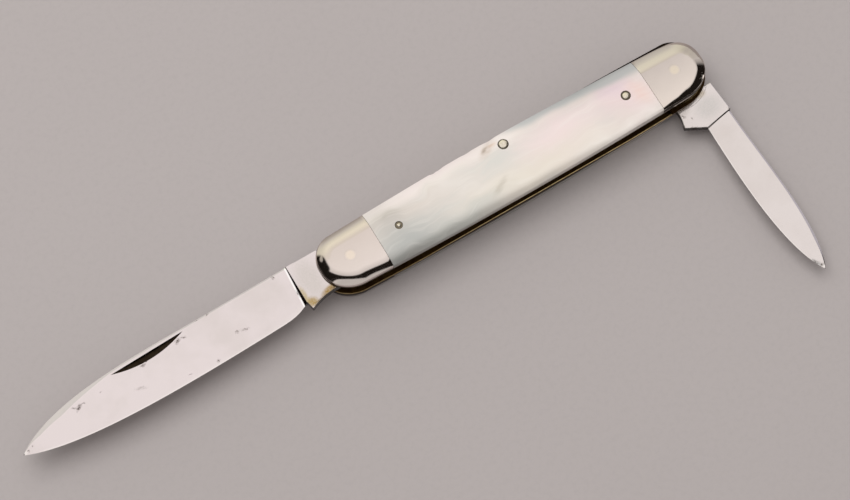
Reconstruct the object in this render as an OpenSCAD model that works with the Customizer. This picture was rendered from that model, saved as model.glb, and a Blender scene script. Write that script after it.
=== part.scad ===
// Two-blade folding pen knife with pearl scales, lying on its back scale.
// X runs along the handle, the main blade at -X and the pen blade at +X.
// Y runs up to the spine, where the back springs lie, and Z runs up through the thickness.
// The origin is on the flat of the back scale, level with the pivots and midway between them.

/* [Handle] */
// Length of the handle from bolster end to bolster end
handle_len = 83; // [80:0.5:90]
// Height of the handle at mid length, from the pivot line up to the spine
spine_rise = 6.35; // [6.2:0.05:7]
// Height of the handle at mid length, from the pivot line down to the belly
belly_drop = 6.2; // [6:0.05:7]
// How far each long side curves in between mid length and the handle's end
side_bow = 0.85; // [0.5:0.05:1]
// Corner radius of the handle's ends on the spine side
spine_corner_r = 4.6; // [3.5:0.1:5]
// Height of the rounding of the handle's ends on the belly side
belly_corner_h = 5.6; // [4.5:0.1:5.8]
// Length of the same rounding along the handle
belly_corner_len = 6.6; // [5:0.1:7.5]
// Length of a bolster along the handle
bolster_len = 12; // [10:0.5:15]
// Distance from the handle's end to the blade's pivot
pivot_inset = 6.15; // [6:0.05:7]

/* [Layers] */
// Thickness of a scale, and of the bolsters beside it
scale_t = 2.05; // [1.8:0.05:2.6]
// Thickness of the front and back liners
liner_t = 0.45; // [0.3:0.05:0.7]
// Thickness of the centre liner between the two springs
centre_liner_t = 0.4; // [0.3:0.05:0.7]
// Thickness of the layer that holds the main blade and its spring
main_layer_t = 1.9; // [1.8:0.05:2.4]
// Thickness of the layer that holds the pen blade and its spring
pen_layer_t = 1.5; // [1.4:0.05:2]
// How far the centre liner stands back from the belly, so the blades can be reached
centre_recess = 1; // [0.6:0.1:1.6]
// How far the centre liner stands out of the handle at the pen blade's corner
centre_lip = 0.5; // [0.1:0.05:0.6]
// How far the rounding of the covers reaches in from the spine
spine_round_w = 2.6; // [1.5:0.1:3]
// How deep the rounding of the covers goes on the spine side
spine_round_h = 1; // [0.6:0.05:1.4]
// How far the rounding of the covers reaches in from the belly and the ends
belly_round_w = 1.5; // [1:0.1:2]
// How deep the rounding of the covers goes on the belly side
belly_round_h = 1.35; // [0.8:0.05:1.5]

/* [Pins] */
// Diameter of the two pivot pins
pivot_pin_d = 2.3; // [2:0.05:2.6]
// Diameter of the pin through the middle of both springs
spring_pin_d = 2; // [1.6:0.05:2.2]
// Height of the spring pin above the pivot line
spring_pin_y = 3.95; // [3.9:0.05:4.2]
// Diameter of the shanks of the scale pins
scale_pin_d = 1.2; // [1:0.05:1.3]
// Diameter of the heads of the scale pins near the main bolsters
main_head_d = 1.4; // [1.35:0.05:1.7]
// Diameter of the heads of the scale pins near the pen bolsters
pen_head_d = 1.8; // [1.4:0.05:2]
// Length of a scale pin's head inside its scale
head_depth = 0.5; // [0.3:0.05:0.8]
// Height that the pin heads stand above the front scale
head_rise = 0.08; // [0.05:0.01:0.15]
// Distance from a bolster's joint to the scale pin
scale_pin_inset = 4.75; // [3.5:0.25:8]
// Height of the scale pins above the pivot line
scale_pin_y = 0.35; // [0:0.05:1]
// Radial gap between a fixed pin and its hole
pin_fit = 0.01; // [0.005:0.005:0.02]
// Radial running gap between a blade and its pivot pin
pivot_gap = 0.03; // [0.02:0.01:0.06]

/* [Springs] */
// Height of a spring's inner face above the pivot line, over the pivot
spring_seat_h = 3.75; // [3.6:0.05:3.9]
// Distance that a spring's nose reaches past the pivot
nose_reach = 4.35; // [4:0.05:4.6]
// Height of the pen spring's inner face where the pen blade's kick rests
pen_kick_seat_h = 3.15; // [3:0.05:3.4]
// How far the pen spring's working half stands out of the spine
pen_spring_proud = 0.6; // [0:0.05:0.7]
// Metal left around the spring pin on the underside of a spring
pin_boss_wall = 0.45; // [0.3:0.05:0.5]
// Radius of the foot that holds a spring at the other blade's pivot
spring_foot_r = 2.4; // [2.1:0.1:2.8]

/* [Tangs] */
// Radius of a tang's round rear end, which lifts the spring as the blade turns
cam_r = 4.4; // [4.2:0.05:4.8]
// Side play between a tang and the liners on each side of it
side_play = 0.03; // [0.02:0.01:0.06]
// Gap between a tang and the spring face that it bears on
seat_gap = 0.02; // [0.01:0.01:0.05]
// Distance from the pivot to the end of a tang, where the blade proper starts
tang_len = 11.1; // [10.8:0.1:12]
// Distance from the pivot forward to the main blade's kick
main_kick_at = 10.7; // [10.2:0.05:10.9]
// Depth of the main blade's kick below the pivot line
main_kick_drop = 4.63; // [4.4:0.01:4.8]
// Distance from the pivot forward to the pen blade's kick
pen_kick_at = 9.5; // [9:0.05:10]
// Depth of the pen blade's kick below the pivot line
pen_kick_drop = 3.9; // [3.7:0.05:4.1]

/* [Blades] */
// Length of the main blade from its pivot to its point
main_len = 69.5; // [66:0.5:70]
// Height of the main blade's back above the pivot line
main_back_h = 4.9; // [4.8:0.05:5.2]
// Depth of the main blade's edge below the pivot line
main_edge_low = 4.9; // [4.7:0.05:5]
// Thickness of the main blade along its spine
main_spine_t = 1.55; // [1.2:0.05:1.65]
// Length of the pen blade from its pivot to its point
pen_len = 46.4; // [42:0.2:60]
// Height of the pen blade's back above the pivot line
pen_back_h = 5.6; // [5.3:0.05:5.7]
// Depth of the pen blade's edge below the pivot line
pen_edge_low = 1.1; // [0.9:0.05:1.4]
// Thickness of the pen blade along its spine
pen_spine_t = 1.15; // [0.9:0.05:1.25]
// Thickness of both blades just behind the cutting edge
edge_t = 0.2; // [0.12:0.02:0.3]
// Thickness of both blades at the point of the spine
point_t = 0.5; // [0.3:0.05:0.8]
// Angle between the half-open pen blade, as it lies here, and its fully open place
pen_rest_angle = 86.5; // [80:0.5:95]
// Length of the main blade's nail nick
main_nick_len = 15.3; // [10:0.1:18]
// Length of the pen blade's nail nick, on its reverse side
pen_nick_len = 10; // [7:0.1:12]
// Width of a nail nick
nick_w = 1.5; // [1:0.1:1.8]
// Depth of a nail nick at its steep side
nick_depth = 0.4; // [0.25:0.01:0.45]
// Distance from a blade's back down to its nail nick
nick_below_back = 1.15; // [0.8:0.05:1.6]

/* [Hidden] */
$fn = 64;

// Places along the handle
end_x = handle_len / 2;
pivot_x = end_x - pivot_inset;
joint_x = end_x - bolster_len;
scale_pin_x = joint_x - scale_pin_inset;
nose_x = pivot_x + nose_reach;

// Heights of the layers, from the back face up
back_liner_z = scale_t;
pen_z = back_liner_z + liner_t;
centre_liner_z = pen_z + pen_layer_t;
main_z = centre_liner_z + centre_liner_t;
front_liner_z = main_z + main_layer_t;
front_scale_z = front_liner_z + liner_t;
handle_t = front_scale_z + scale_t;
pen_mid_z = pen_z + pen_layer_t / 2;
main_mid_z = main_z + main_layer_t / 2;

// Steps in a cover's rounding, in a rounded corner, along a bowed side and along a blade
round_steps = 5;
corner_steps = 10;
side_steps = 6;
curve_steps = 16;

// How far a cutter runs past what it cuts
over = 1;

// Outline of the handle, drawn as bowed sides and round corners

function bowed(half, x) = half - side_bow * pow(x / end_x, 2);

function arc(cx, cy, rx, ry, from, to) = [
    for (i = [0:corner_steps])
        let (a = from + (to - from) * i / corner_steps)
            [cx + rx * cos(a), cy + ry * sin(a)]
];

function side(half, x_from, x_to, inset) = [
    for (i = [0:side_steps])
        let (x = x_from + (x_to - x_from) * i / side_steps)
            [x, sign(half) * (bowed(abs(half), x) - inset)]
];

// A corner stops just short of the side that it runs into, so no two points meet
corner_sweep = 88;

// The +X end of the outline past x_from, stepped in from the spine and from the belly,
// and with a lip that stands out below
function end_outline(x_from, spine_in, belly_in, lip = 0) =
    let (xs = end_x - spine_corner_r)
    let (xb = end_x - belly_corner_len)
    let (ys = bowed(spine_rise, xs) - spine_corner_r)
    let (yb = belly_corner_h - bowed(belly_drop, xb))
    let (belly_rx = belly_corner_len - belly_in + lip / 2)
    let (belly_ry = belly_corner_h - belly_in + lip)
    concat(
        side(spine_rise, x_from, xs, spine_in),
        arc(xs, ys, spine_corner_r - belly_in, spine_corner_r - spine_in, corner_sweep, 0),
        arc(xb, yb, belly_rx, belly_ry, 0, -corner_sweep),
        side(-belly_drop, xb, x_from, belly_in - lip)
    );

function flip_x(points) = [
    for (i = [len(points) - 1:-1:0])
        [-points[i][0], points[i][1]]
];

function handle_outline() =
    let (half = end_outline(side_steps / 10, 0, 0))
    concat(half, flip_x(half));

function middle_outline(spine_in, belly_in) = concat(
    side(spine_rise, -joint_x, joint_x, spine_in),
    side(-belly_drop, joint_x, -joint_x, belly_in)
);

// Distance that an elliptical rounding has stepped in at a depth below the face
function round_in(w, h, depth) =
    depth >= h ? 0 : w * (1 - sqrt(1 - pow((h - depth) / h, 2)));

// A solid through a stack of outlines, each with as many points as the next
module loft(rings, heights) {
    n = len(rings[0]);
    top = n * (len(rings) - 1);
    sides = [
        for (k = [0:len(rings) - 2], i = [0:n - 1])
            let (a = k * n + i)
            let (b = k * n + (i + 1) % n)
                each [[a, a + n, b], [b, a + n, b + n]]
    ];
    polyhedron(
        points = [for (k = [0:len(rings) - 1]) for (p = rings[k]) [p[0], p[1], heights[k]]],
        faces = concat(
            [[for (i = [n - 1:-1:0]) top + n - 1 - i]],
            sides,
            [[for (i = [n - 1:-1:0]) i]]
        )
    );
}

// Depths below a cover's face at which its rounding is drawn, deepest first
round_deepest = max(spine_round_h, belly_round_h);
round_depths = concat(
    [scale_t],
    [for (k = [0:round_steps]) round_deepest * (1 - sin(90 * k / round_steps))]
);
cover_heights = [for (d = round_depths) scale_t - d];

module bolster_blank() {
    loft(
        [
            for (d = round_depths)
                end_outline(
                    joint_x,
                    round_in(spine_round_w, spine_round_h, d),
                    round_in(belly_round_w, belly_round_h, d)
                )
        ],
        cover_heights
    );
}

module scale_blank() {
    loft(
        [
            for (d = round_depths)
                middle_outline(
                    round_in(spine_round_w, spine_round_h, d),
                    round_in(belly_round_w, belly_round_h, d)
                )
        ],
        cover_heights
    );
}

// A hole for a fixed pin through everything at its place
module pin_hole(x, y, d) {
    translate([x, y, -over])
        cylinder(d = d + 2 * pin_fit, h = handle_t + 2 * over);
}

module pivot_holes() {
    pin_hole(-pivot_x, 0, pivot_pin_d);
    pin_hole(pivot_x, 0, pivot_pin_d);
}

module spring_pin_hole() {
    pin_hole(0, spring_pin_y, spring_pin_d);
}

module scale_pin_holes() {
    pin_hole(-scale_pin_x, scale_pin_y, scale_pin_d);
    pin_hole(scale_pin_x, scale_pin_y, scale_pin_d);
}

// Sinks for the wider heads of the scale pins, between two heights
module head_sinks(z_from, z_to) {
    intersection() {
        union() {
            pin_hole(-scale_pin_x, scale_pin_y, main_head_d);
            pin_hole(scale_pin_x, scale_pin_y, pen_head_d);
        }
        translate([-handle_len, -handle_len, z_from])
            cube([2 * handle_len, 2 * handle_len, z_to - z_from]);
    }
}

module front_scale() {
    color("#ece6df")
        difference() {
            translate([0, 0, front_scale_z])
                scale_blank();
            spring_pin_hole();
            scale_pin_holes();
            head_sinks(handle_t - head_depth, handle_t + over);
        }
}

module back_scale() {
    color("#e9e2da")
        difference() {
            translate([0, 0, scale_t])
                mirror([0, 0, 1])
                    scale_blank();
            spring_pin_hole();
            scale_pin_holes();
            head_sinks(-over, head_depth);
        }
}

// A bolster at the +X end on the front or the back, bored for the pivot pin
module bolster(front) {
    color("#cfc6b4")
        difference() {
            translate([0, 0, front ? front_scale_z : scale_t])
                mirror([0, 0, front ? 0 : 1])
                    bolster_blank();
            pin_hole(pivot_x, 0, pivot_pin_d);
        }
}

module front_main_bolster() {
    mirror([1, 0, 0])
        bolster(true);
}

module front_pen_bolster() {
    bolster(true);
}

module back_main_bolster() {
    mirror([1, 0, 0])
        bolster(false);
}

module back_pen_bolster() {
    bolster(false);
}

module outer_liner(z) {
    color("#b9973f")
        difference() {
            translate([0, 0, z])
                linear_extrude(height = liner_t)
                    polygon(handle_outline());
            pivot_holes();
            spring_pin_hole();
            scale_pin_holes();
        }
}

module front_liner() {
    outer_liner(front_liner_z);
}

module back_liner() {
    outer_liner(back_liner_z);
}

// Distance from a bolster's joint to where the centre liner comes out to the handle's outline
lip_inset = 2;

// The centre liner stands back from the belly everywhere but at the pen blade's end
module centre_liner() {
    color("#b9973f")
        difference() {
            translate([0, 0, centre_liner_z])
                linear_extrude(height = centre_liner_t)
                    union() {
                        intersection() {
                            polygon(handle_outline());
                            translate([centre_recess / 2, centre_recess])
                                polygon(handle_outline());
                        }
                        polygon(end_outline(joint_x + lip_inset, 0, 0, centre_lip));
                    }
            pivot_holes();
            spring_pin_hole();
        }
}

// Back springs, drawn with the working end at +X and the foot at -X

// The boss under the spring pin: its underside, half its length and the slope beside it
boss_y = spring_pin_y - spring_pin_d / 2 - pin_fit - pin_boss_wall;
boss_half = spring_pin_d / 2 + 1.4;
boss_slope = 3;

// Length of a spring's level seat behind the pivot
seat_run = 2;

// Distance along the handle over which a proud spring rises out of the spine
proud_run = 20;

function spring_limit(proud) = [
    for (p = handle_outline())
        [p[0], p[1] + proud * max(0, min(1, p[0] / proud_run))]
];

module spring_outline(kick_x, kick_h, proud) {
    intersection() {
        polygon(spring_limit(proud));
        union() {
            polygon([
                [nose_x, spring_seat_h],
                [pivot_x - seat_run, spring_seat_h],
                [kick_x, kick_h],
                [boss_half + boss_slope, kick_h],
                [boss_half, boss_y],
                [-boss_half, boss_y],
                [-boss_half - boss_slope, kick_h],
                [-joint_x + over, kick_h],
                [-pivot_x + spring_foot_r, -spring_foot_r / 2],
                [-pivot_x + spring_foot_r / 2, -spring_foot_r],
                [-handle_len, -spring_foot_r],
                [-handle_len, handle_len],
                [nose_x, handle_len],
            ]);
            translate([-pivot_x, 0])
                circle(r = spring_foot_r);
        }
    }
}

// The main spring's inner face runs level past the kick, and the open blade leaves it at rest
module main_spring() {
    color("#8f8f92")
        difference() {
            translate([0, 0, main_z])
                linear_extrude(height = main_layer_t)
                    mirror([1, 0])
                        spring_outline(pivot_x - main_kick_at - seat_run, spring_seat_h, 0);
            spring_pin_hole();
            pin_hole(pivot_x, 0, pivot_pin_d);
        }
}

// The half-open pen blade stands on its cam and holds the pen spring lifted by this angle
pen_lift_angle = asin((cam_r - spring_seat_h) / pivot_x);

module pen_spring_flat() {
    spring_outline(pivot_x - pen_kick_at - seat_run / 2, pen_kick_seat_h, pen_spring_proud);
}

// The working half turned up about the spring pin, and the other half as it lies
module pen_spring_lifted() {
    intersection() {
        pen_spring_flat();
        translate([-handle_len, -handle_len])
            square([handle_len, 2 * handle_len]);
    }
    translate([0, spring_pin_y])
        rotate(pen_lift_angle)
            translate([0, -spring_pin_y])
                intersection() {
                    pen_spring_flat();
                    translate([-boss_half / 10, -handle_len])
                        square([handle_len, 2 * handle_len]);
                }
}

module pen_spring() {
    color("#8f8f92")
        difference() {
            translate([0, 0, pen_z])
                linear_extrude(height = pen_layer_t)
                    pen_spring_lifted();
            spring_pin_hole();
            pin_hole(-pivot_x, 0, pivot_pin_d);
        }
}

// Pins that run through the whole handle, the pivot pins peened flush with the bolsters
module pivot_pin(x) {
    color("#d8cdb4")
        translate([x, 0, 0])
            cylinder(d = pivot_pin_d, h = handle_t);
}

module main_pivot_pin() {
    pivot_pin(-pivot_x);
}

module pen_pivot_pin() {
    pivot_pin(pivot_x);
}

// A low head with a sloping rim that stands on the face of the front scale
module raised_head(d) {
    translate([0, 0, handle_t])
        cylinder(d1 = d, d2 = d - 4 * head_rise, h = head_rise);
}

module spring_pin() {
    color("#c9c2b2")
        translate([0, spring_pin_y, 0])
            union() {
                cylinder(d = spring_pin_d, h = handle_t);
                raised_head(spring_pin_d);
            }
}

module front_scale_pin(x, head_d) {
    color("#c9c2b2")
        translate([x, scale_pin_y, 0])
            union() {
                translate([0, 0, front_liner_z])
                    cylinder(d = scale_pin_d, h = handle_t - front_liner_z);
                translate([0, 0, handle_t - head_depth + pin_fit])
                    cylinder(d = head_d, h = head_depth - pin_fit);
                raised_head(head_d);
            }
}

module back_scale_pin(x, head_d) {
    color("#c9c2b2")
        translate([x, scale_pin_y, 0])
            union() {
                cylinder(d = scale_pin_d, h = pen_z);
                cylinder(d = head_d, h = head_depth - pin_fit);
            }
}

module front_scale_pin_main() {
    front_scale_pin(-scale_pin_x, main_head_d);
}

module front_scale_pin_pen() {
    front_scale_pin(scale_pin_x, pen_head_d);
}

module back_scale_pin_main() {
    back_scale_pin(-scale_pin_x, main_head_d);
}

module back_scale_pin_pen() {
    back_scale_pin(scale_pin_x, pen_head_d);
}

// Blades, drawn open with the pivot at the origin, the point at +X and the spine at +Y

function bezier(a, b, c, d, steps) = [
    for (i = [0:steps])
        let (t = i / steps)
        let (s = 1 - t)
            s * s * s * a + 3 * s * s * t * b + 3 * s * t * t * c + t * t * t * d
];

// The round rear end of a tang, from the seat it rests on closed to the one it rests on open
rear_flat_h = spring_seat_h - 0.25;
function tang_rear() =
    let (r = cam_r - seat_gap)
    arc(0, 0, r, r, 180 + asin(rear_flat_h / r), 180 - asin((spring_seat_h - seat_gap) / r));

// Outline of a tang from its step against the spring's nose round by the front to its rear
function tang_outline(back_h, kick_at, kick_drop, front_low) =
    let (step_x = nose_reach + 0.1)
    let (relief_h = kick_drop - 1.3)
    concat(
        [
            [step_x, spring_seat_h - seat_gap],
            [step_x + 0.3, back_h],
            [tang_len, back_h],
            front_low,
            [kick_at, -kick_drop],
            [kick_at * 0.6, -relief_h],
            [kick_at * 0.3, -rear_flat_h],
        ],
        tang_rear()
    );

module tang(points, layer_t) {
    t = layer_t - 2 * side_play;
    translate([0, 0, -t / 2])
        linear_extrude(height = t)
            polygon(points);
}

// The body of a blade, ground thin towards the edge and tapered towards the point
module ground_blade(points, blade_len, edge_low, spine_y, spine_t) {
    slope = (spine_t - edge_t) / 2 / (spine_y + edge_low);
    reach = 3;
    thin = edge_t / 2 - slope * reach;
    thick = spine_t / 2 + slope * reach;
    intersection() {
        translate([0, 0, -spine_t])
            linear_extrude(height = 2 * spine_t)
                polygon(points);
        rotate([90, 0, 90])
            linear_extrude(height = blade_len + over)
                polygon([
                    [-edge_low - reach, -thin],
                    [spine_y + reach, -thick],
                    [spine_y + reach, thick],
                    [-edge_low - reach, thin],
                ]);
        translate([0, 2 * spine_y, 0])
            rotate([90, 0, 0])
                linear_extrude(height = 4 * spine_y)
                    polygon([
                        [0, -spine_t],
                        [blade_len, -point_t / 2],
                        [blade_len, point_t / 2],
                        [0, spine_t],
                    ]);
    }
}

// The cutter of a nail nick: a tilted disc whose flat side leaves the nick's straight wall
module nick_cutter(nick_len) {
    tilt = atan(nick_depth / nick_w);
    deep = nick_depth / cos(tilt);
    r = nick_len * nick_len / (8 * deep) + deep / 2;
    translate([0, sin(tilt) * (r - deep), cos(tilt) * (r - deep)])
        rotate([90 - tilt, 0, 0])
            cylinder(r = r, h = 2 * nick_w, $fn = 720);
}

module pivot_bore() {
    translate([0, 0, -handle_t / 2])
        cylinder(d = pivot_pin_d + 2 * pivot_gap, h = handle_t);
}

// How far a blade's outline runs back into its tang, and the drop of its back there
tang_lap = 1;
back_drop = 0.05;

// The main blade's heel, from the notch at the tang out to the start of the straight edge
main_notch = [tang_len + 0.2, -main_edge_low + 1.83];
main_heel = [tang_len + 5.4, -main_edge_low + 0.45];
main_tip = [main_len, -1.3];
heel_steps = 5;

function main_outline() = concat(
    [[tang_len - tang_lap, main_back_h - back_drop]],
    bezier(
        [main_len * 0.5, main_back_h - 0.3],
        [main_len * 0.72, main_back_h - 0.35],
        [main_len * 0.9, main_back_h - 0.75],
        main_tip,
        curve_steps
    ),
    bezier(
        main_tip,
        [main_len * 0.86, -main_edge_low - 0.75],
        [main_len * 0.55, -main_edge_low - 0.4],
        main_heel,
        curve_steps
    ),
    bezier(
        main_heel,
        main_heel + [-3.3, 0.2],
        main_notch + [0.9, -0.43],
        main_notch,
        heel_steps
    ),
    [[tang_len - tang_lap, main_notch[1]]]
);

pen_tip = [pen_len, 1.55];
pen_heel = [tang_len + 0.9, -pen_edge_low + 1.05];

function pen_outline() = concat(
    [[tang_len - tang_lap, pen_back_h - 3 * back_drop]],
    bezier(
        [tang_len + 0.1, pen_back_h - 0.25],
        [pen_len * 0.52, pen_back_h - 0.85],
        [pen_len * 0.86, pen_back_h + 0.3],
        pen_tip,
        curve_steps
    ),
    bezier(
        pen_tip,
        [pen_len * 0.84, -pen_edge_low - 1.4],
        [pen_len * 0.47, -pen_edge_low + 0.2],
        pen_heel,
        curve_steps
    ),
    [[tang_len - tang_lap, pen_heel[1] - back_drop]]
);

// Places of the nail nicks along the blades
main_nick_x = main_len * 0.6;
pen_nick_x = pen_len * 0.62;

// The nail nicks follow the backs, which fall towards the point
main_nick_turn = -1.5;
pen_nick_drop = 0.6;

// How far a nick's cutter is sunk below the spine's thickness to reach the ground face
main_nick_sink = 0.1;
pen_nick_sink = 0.15;

module main_blade() {
    color("#c9c6c4")
        translate([-pivot_x, 0, main_mid_z])
            mirror([1, 0, 0])
                difference() {
                    union() {
                        tang(
                            tang_outline(
                                main_back_h - 2 * back_drop,
                                main_kick_at,
                                main_kick_drop,
                                main_notch - [0.25, 0]
                            ),
                            main_layer_t
                        );
                        ground_blade(
                            main_outline(),
                            main_len,
                            main_edge_low,
                            main_back_h,
                            main_spine_t
                        );
                    }
                    pivot_bore();
                    translate([
                        main_nick_x,
                        main_back_h - nick_below_back,
                        main_spine_t / 2 - main_nick_sink,
                    ])
                        rotate(main_nick_turn)
                            nick_cutter(main_nick_len);
                }
}

module pen_blade() {
    color("#c9c6c4")
        translate([pivot_x, 0, pen_mid_z])
            rotate(-pen_rest_angle)
                difference() {
                    union() {
                        tang(
                            tang_outline(
                                pen_back_h,
                                pen_kick_at,
                                pen_kick_drop,
                                pen_heel - [0.2, back_drop]
                            ),
                            pen_layer_t
                        );
                        ground_blade(
                            pen_outline(),
                            pen_len,
                            pen_edge_low,
                            pen_back_h,
                            pen_spine_t
                        );
                    }
                    pivot_bore();
                    mirror([0, 0, 1])
                        translate([
                            pen_nick_x,
                            pen_back_h - nick_below_back - pen_nick_drop,
                            pen_spine_t / 2 - pen_nick_sink,
                        ])
                            nick_cutter(pen_nick_len);
                }
}

front_scale();
back_scale();
front_liner();
centre_liner();
back_liner();
front_main_bolster();
front_pen_bolster();
back_main_bolster();
back_pen_bolster();
main_spring();
pen_spring();
main_pivot_pin();
pen_pivot_pin();
spring_pin();
front_scale_pin_main();
front_scale_pin_pen();
back_scale_pin_main();
back_scale_pin_pen();
main_blade();
pen_blade();
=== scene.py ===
"""Folding pen knife with mother-of-pearl scales, lying on its back scale with both blades out.

Every piece is made in millimetres in the CAD model's own frame and turned to metres last.
"""

import sys
import logging
import math
from dataclasses import dataclass
from enum import Enum
from typing import Callable, Sequence

import bpy
import numpy as np
from mathutils import Matrix, Vector


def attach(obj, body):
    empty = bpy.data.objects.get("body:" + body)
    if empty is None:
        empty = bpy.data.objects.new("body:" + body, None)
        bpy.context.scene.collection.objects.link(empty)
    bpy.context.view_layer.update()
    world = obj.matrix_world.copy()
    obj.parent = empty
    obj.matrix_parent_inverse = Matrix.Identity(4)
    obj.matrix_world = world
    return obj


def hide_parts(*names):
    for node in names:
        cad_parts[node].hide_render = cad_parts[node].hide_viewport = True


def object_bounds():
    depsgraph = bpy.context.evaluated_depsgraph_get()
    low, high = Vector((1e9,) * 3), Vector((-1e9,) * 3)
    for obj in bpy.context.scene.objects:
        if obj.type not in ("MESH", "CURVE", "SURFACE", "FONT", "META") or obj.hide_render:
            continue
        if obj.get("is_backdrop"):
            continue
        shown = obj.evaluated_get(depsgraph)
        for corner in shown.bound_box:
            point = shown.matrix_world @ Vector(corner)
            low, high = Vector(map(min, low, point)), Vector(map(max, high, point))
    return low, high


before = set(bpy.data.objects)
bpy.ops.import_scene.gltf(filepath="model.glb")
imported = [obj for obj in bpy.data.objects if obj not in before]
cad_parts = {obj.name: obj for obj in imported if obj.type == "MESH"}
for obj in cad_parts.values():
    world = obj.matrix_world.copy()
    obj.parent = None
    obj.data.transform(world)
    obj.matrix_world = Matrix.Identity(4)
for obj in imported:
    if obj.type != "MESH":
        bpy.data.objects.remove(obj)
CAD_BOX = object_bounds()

log = logging.getLogger("pen_knife")

MM = 0.001
Flat = tuple[float, float]
Point = tuple[float, float, float]


class Body(Enum):
    """The bodies that a piece can ride on."""

    HANDLE = "handle"
    MAIN_BLADE = "main_blade"
    PEN_BLADE = "pen_blade"


class Slot(Enum):
    """The record's material slots."""

    PEARL = "pearl"
    BRASS = "liner_brass"
    NICKEL_SILVER = "nickel_silver"
    SPRING_STEEL = "spring_steel"
    BLADE_STEEL = "blade_steel"
    PIN_NICKEL = "pin_nickel"


class Face(Enum):
    """Which side of the handle a cover lies on."""

    FRONT = "front"
    BACK = "back"


class End(Enum):
    """Which end of the handle a piece belongs to, with the sign of its X."""

    MAIN = -1
    PEN = 1


class Work(Enum):
    """What a tool does to the piece that it meets."""

    CUT = "DIFFERENCE"
    JOIN = "UNION"


# Sizes


@dataclass(frozen=True)
class HandlePlan:
    """Sizes that the knife's pieces share, in millimetres, as the CAD source has them."""

    end_x: float = 41.5
    spine_rise: float = 6.35
    belly_drop: float = 6.2
    side_bow: float = 0.85
    spine_corner: float = 4.6
    belly_corner_h: float = 5.6
    belly_corner_len: float = 6.6
    joint_x: float = 29.5
    pivot_x: float = 35.35
    pivot_d: float = 2.3
    scale_pin_x: float = 24.75
    scale_pin_y: float = 0.35
    scale_pin_d: float = 1.2
    spring_pin_y: float = 3.95
    spring_pin_d: float = 2.0
    head_depth: float = 0.5
    head_rise: float = 0.08
    # Heights of the layers, from the back scale up
    back_liner_z: float = 2.05
    pen_layer: Flat = (2.5, 4.0)
    main_layer: Flat = (4.4, 6.3)
    liner_t: float = 0.45
    front_z: float = 6.75
    thickness: float = 8.8
    # Gaps round a flush pin, round any other pin and round a pivot in its liner or spring
    flush_gap: float = 0.004
    pin_gap: float = 0.01
    pivot_gap: float = 0.012

    def bowed(self, half: float, x: float) -> float:
        """Half height of the handle at a place along it."""
        return half - self.side_bow * (x / self.end_x) ** 2

    def end_outline(self) -> list[Flat]:
        """Outline of the +X end, from the joint along the spine round to the belly's joint.

        Returns:
            The points in order.
        """
        xs, xb = self.end_x - self.spine_corner, self.end_x - self.belly_corner_len
        ys = self.bowed(self.spine_rise, xs) - self.spine_corner
        yb = self.belly_corner_h - self.bowed(self.belly_drop, xb)
        spine = [(x, self.bowed(self.spine_rise, x)) for x in np.linspace(self.joint_x, xs, 13)]
        corner = [
            (xs + self.spine_corner * math.cos(a), ys + self.spine_corner * math.sin(a))
            for a in np.radians(np.linspace(87, 0, 24))
        ]
        belly_corner = [
            (xb + self.belly_corner_len * math.cos(a), yb + self.belly_corner_h * math.sin(a))
            for a in np.radians(np.linspace(0, -88, 30))
        ]
        belly = [(x, -self.bowed(self.belly_drop, x)) for x in np.linspace(xb, self.joint_x, 11)]
        return spine + corner + belly_corner + belly


PLAN = HandlePlan()
# Radius of each scale pin's head
HEAD_R = {End.MAIN: 0.7, End.PEN: 0.9}
# Degrees that the pen blade stands short of open
PEN_FOLD = 86.5


# Node trees


def linear(colour: str) -> tuple[float, float, float, float]:
    """Turn an sRGB hex colour to linear.

    Args:
        colour: Six hex digits after a hash.

    Returns:
        Linear red, green and blue, with an alpha of 1.
    """
    parts = [int(colour[i : i + 2], 16) / 255 for i in (1, 3, 5)]
    r, g, b = (c / 12.92 if c <= 0.04045 else ((c + 0.055) / 1.055) ** 2.4 for c in parts)
    return (r, g, b, 1.0)


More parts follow.
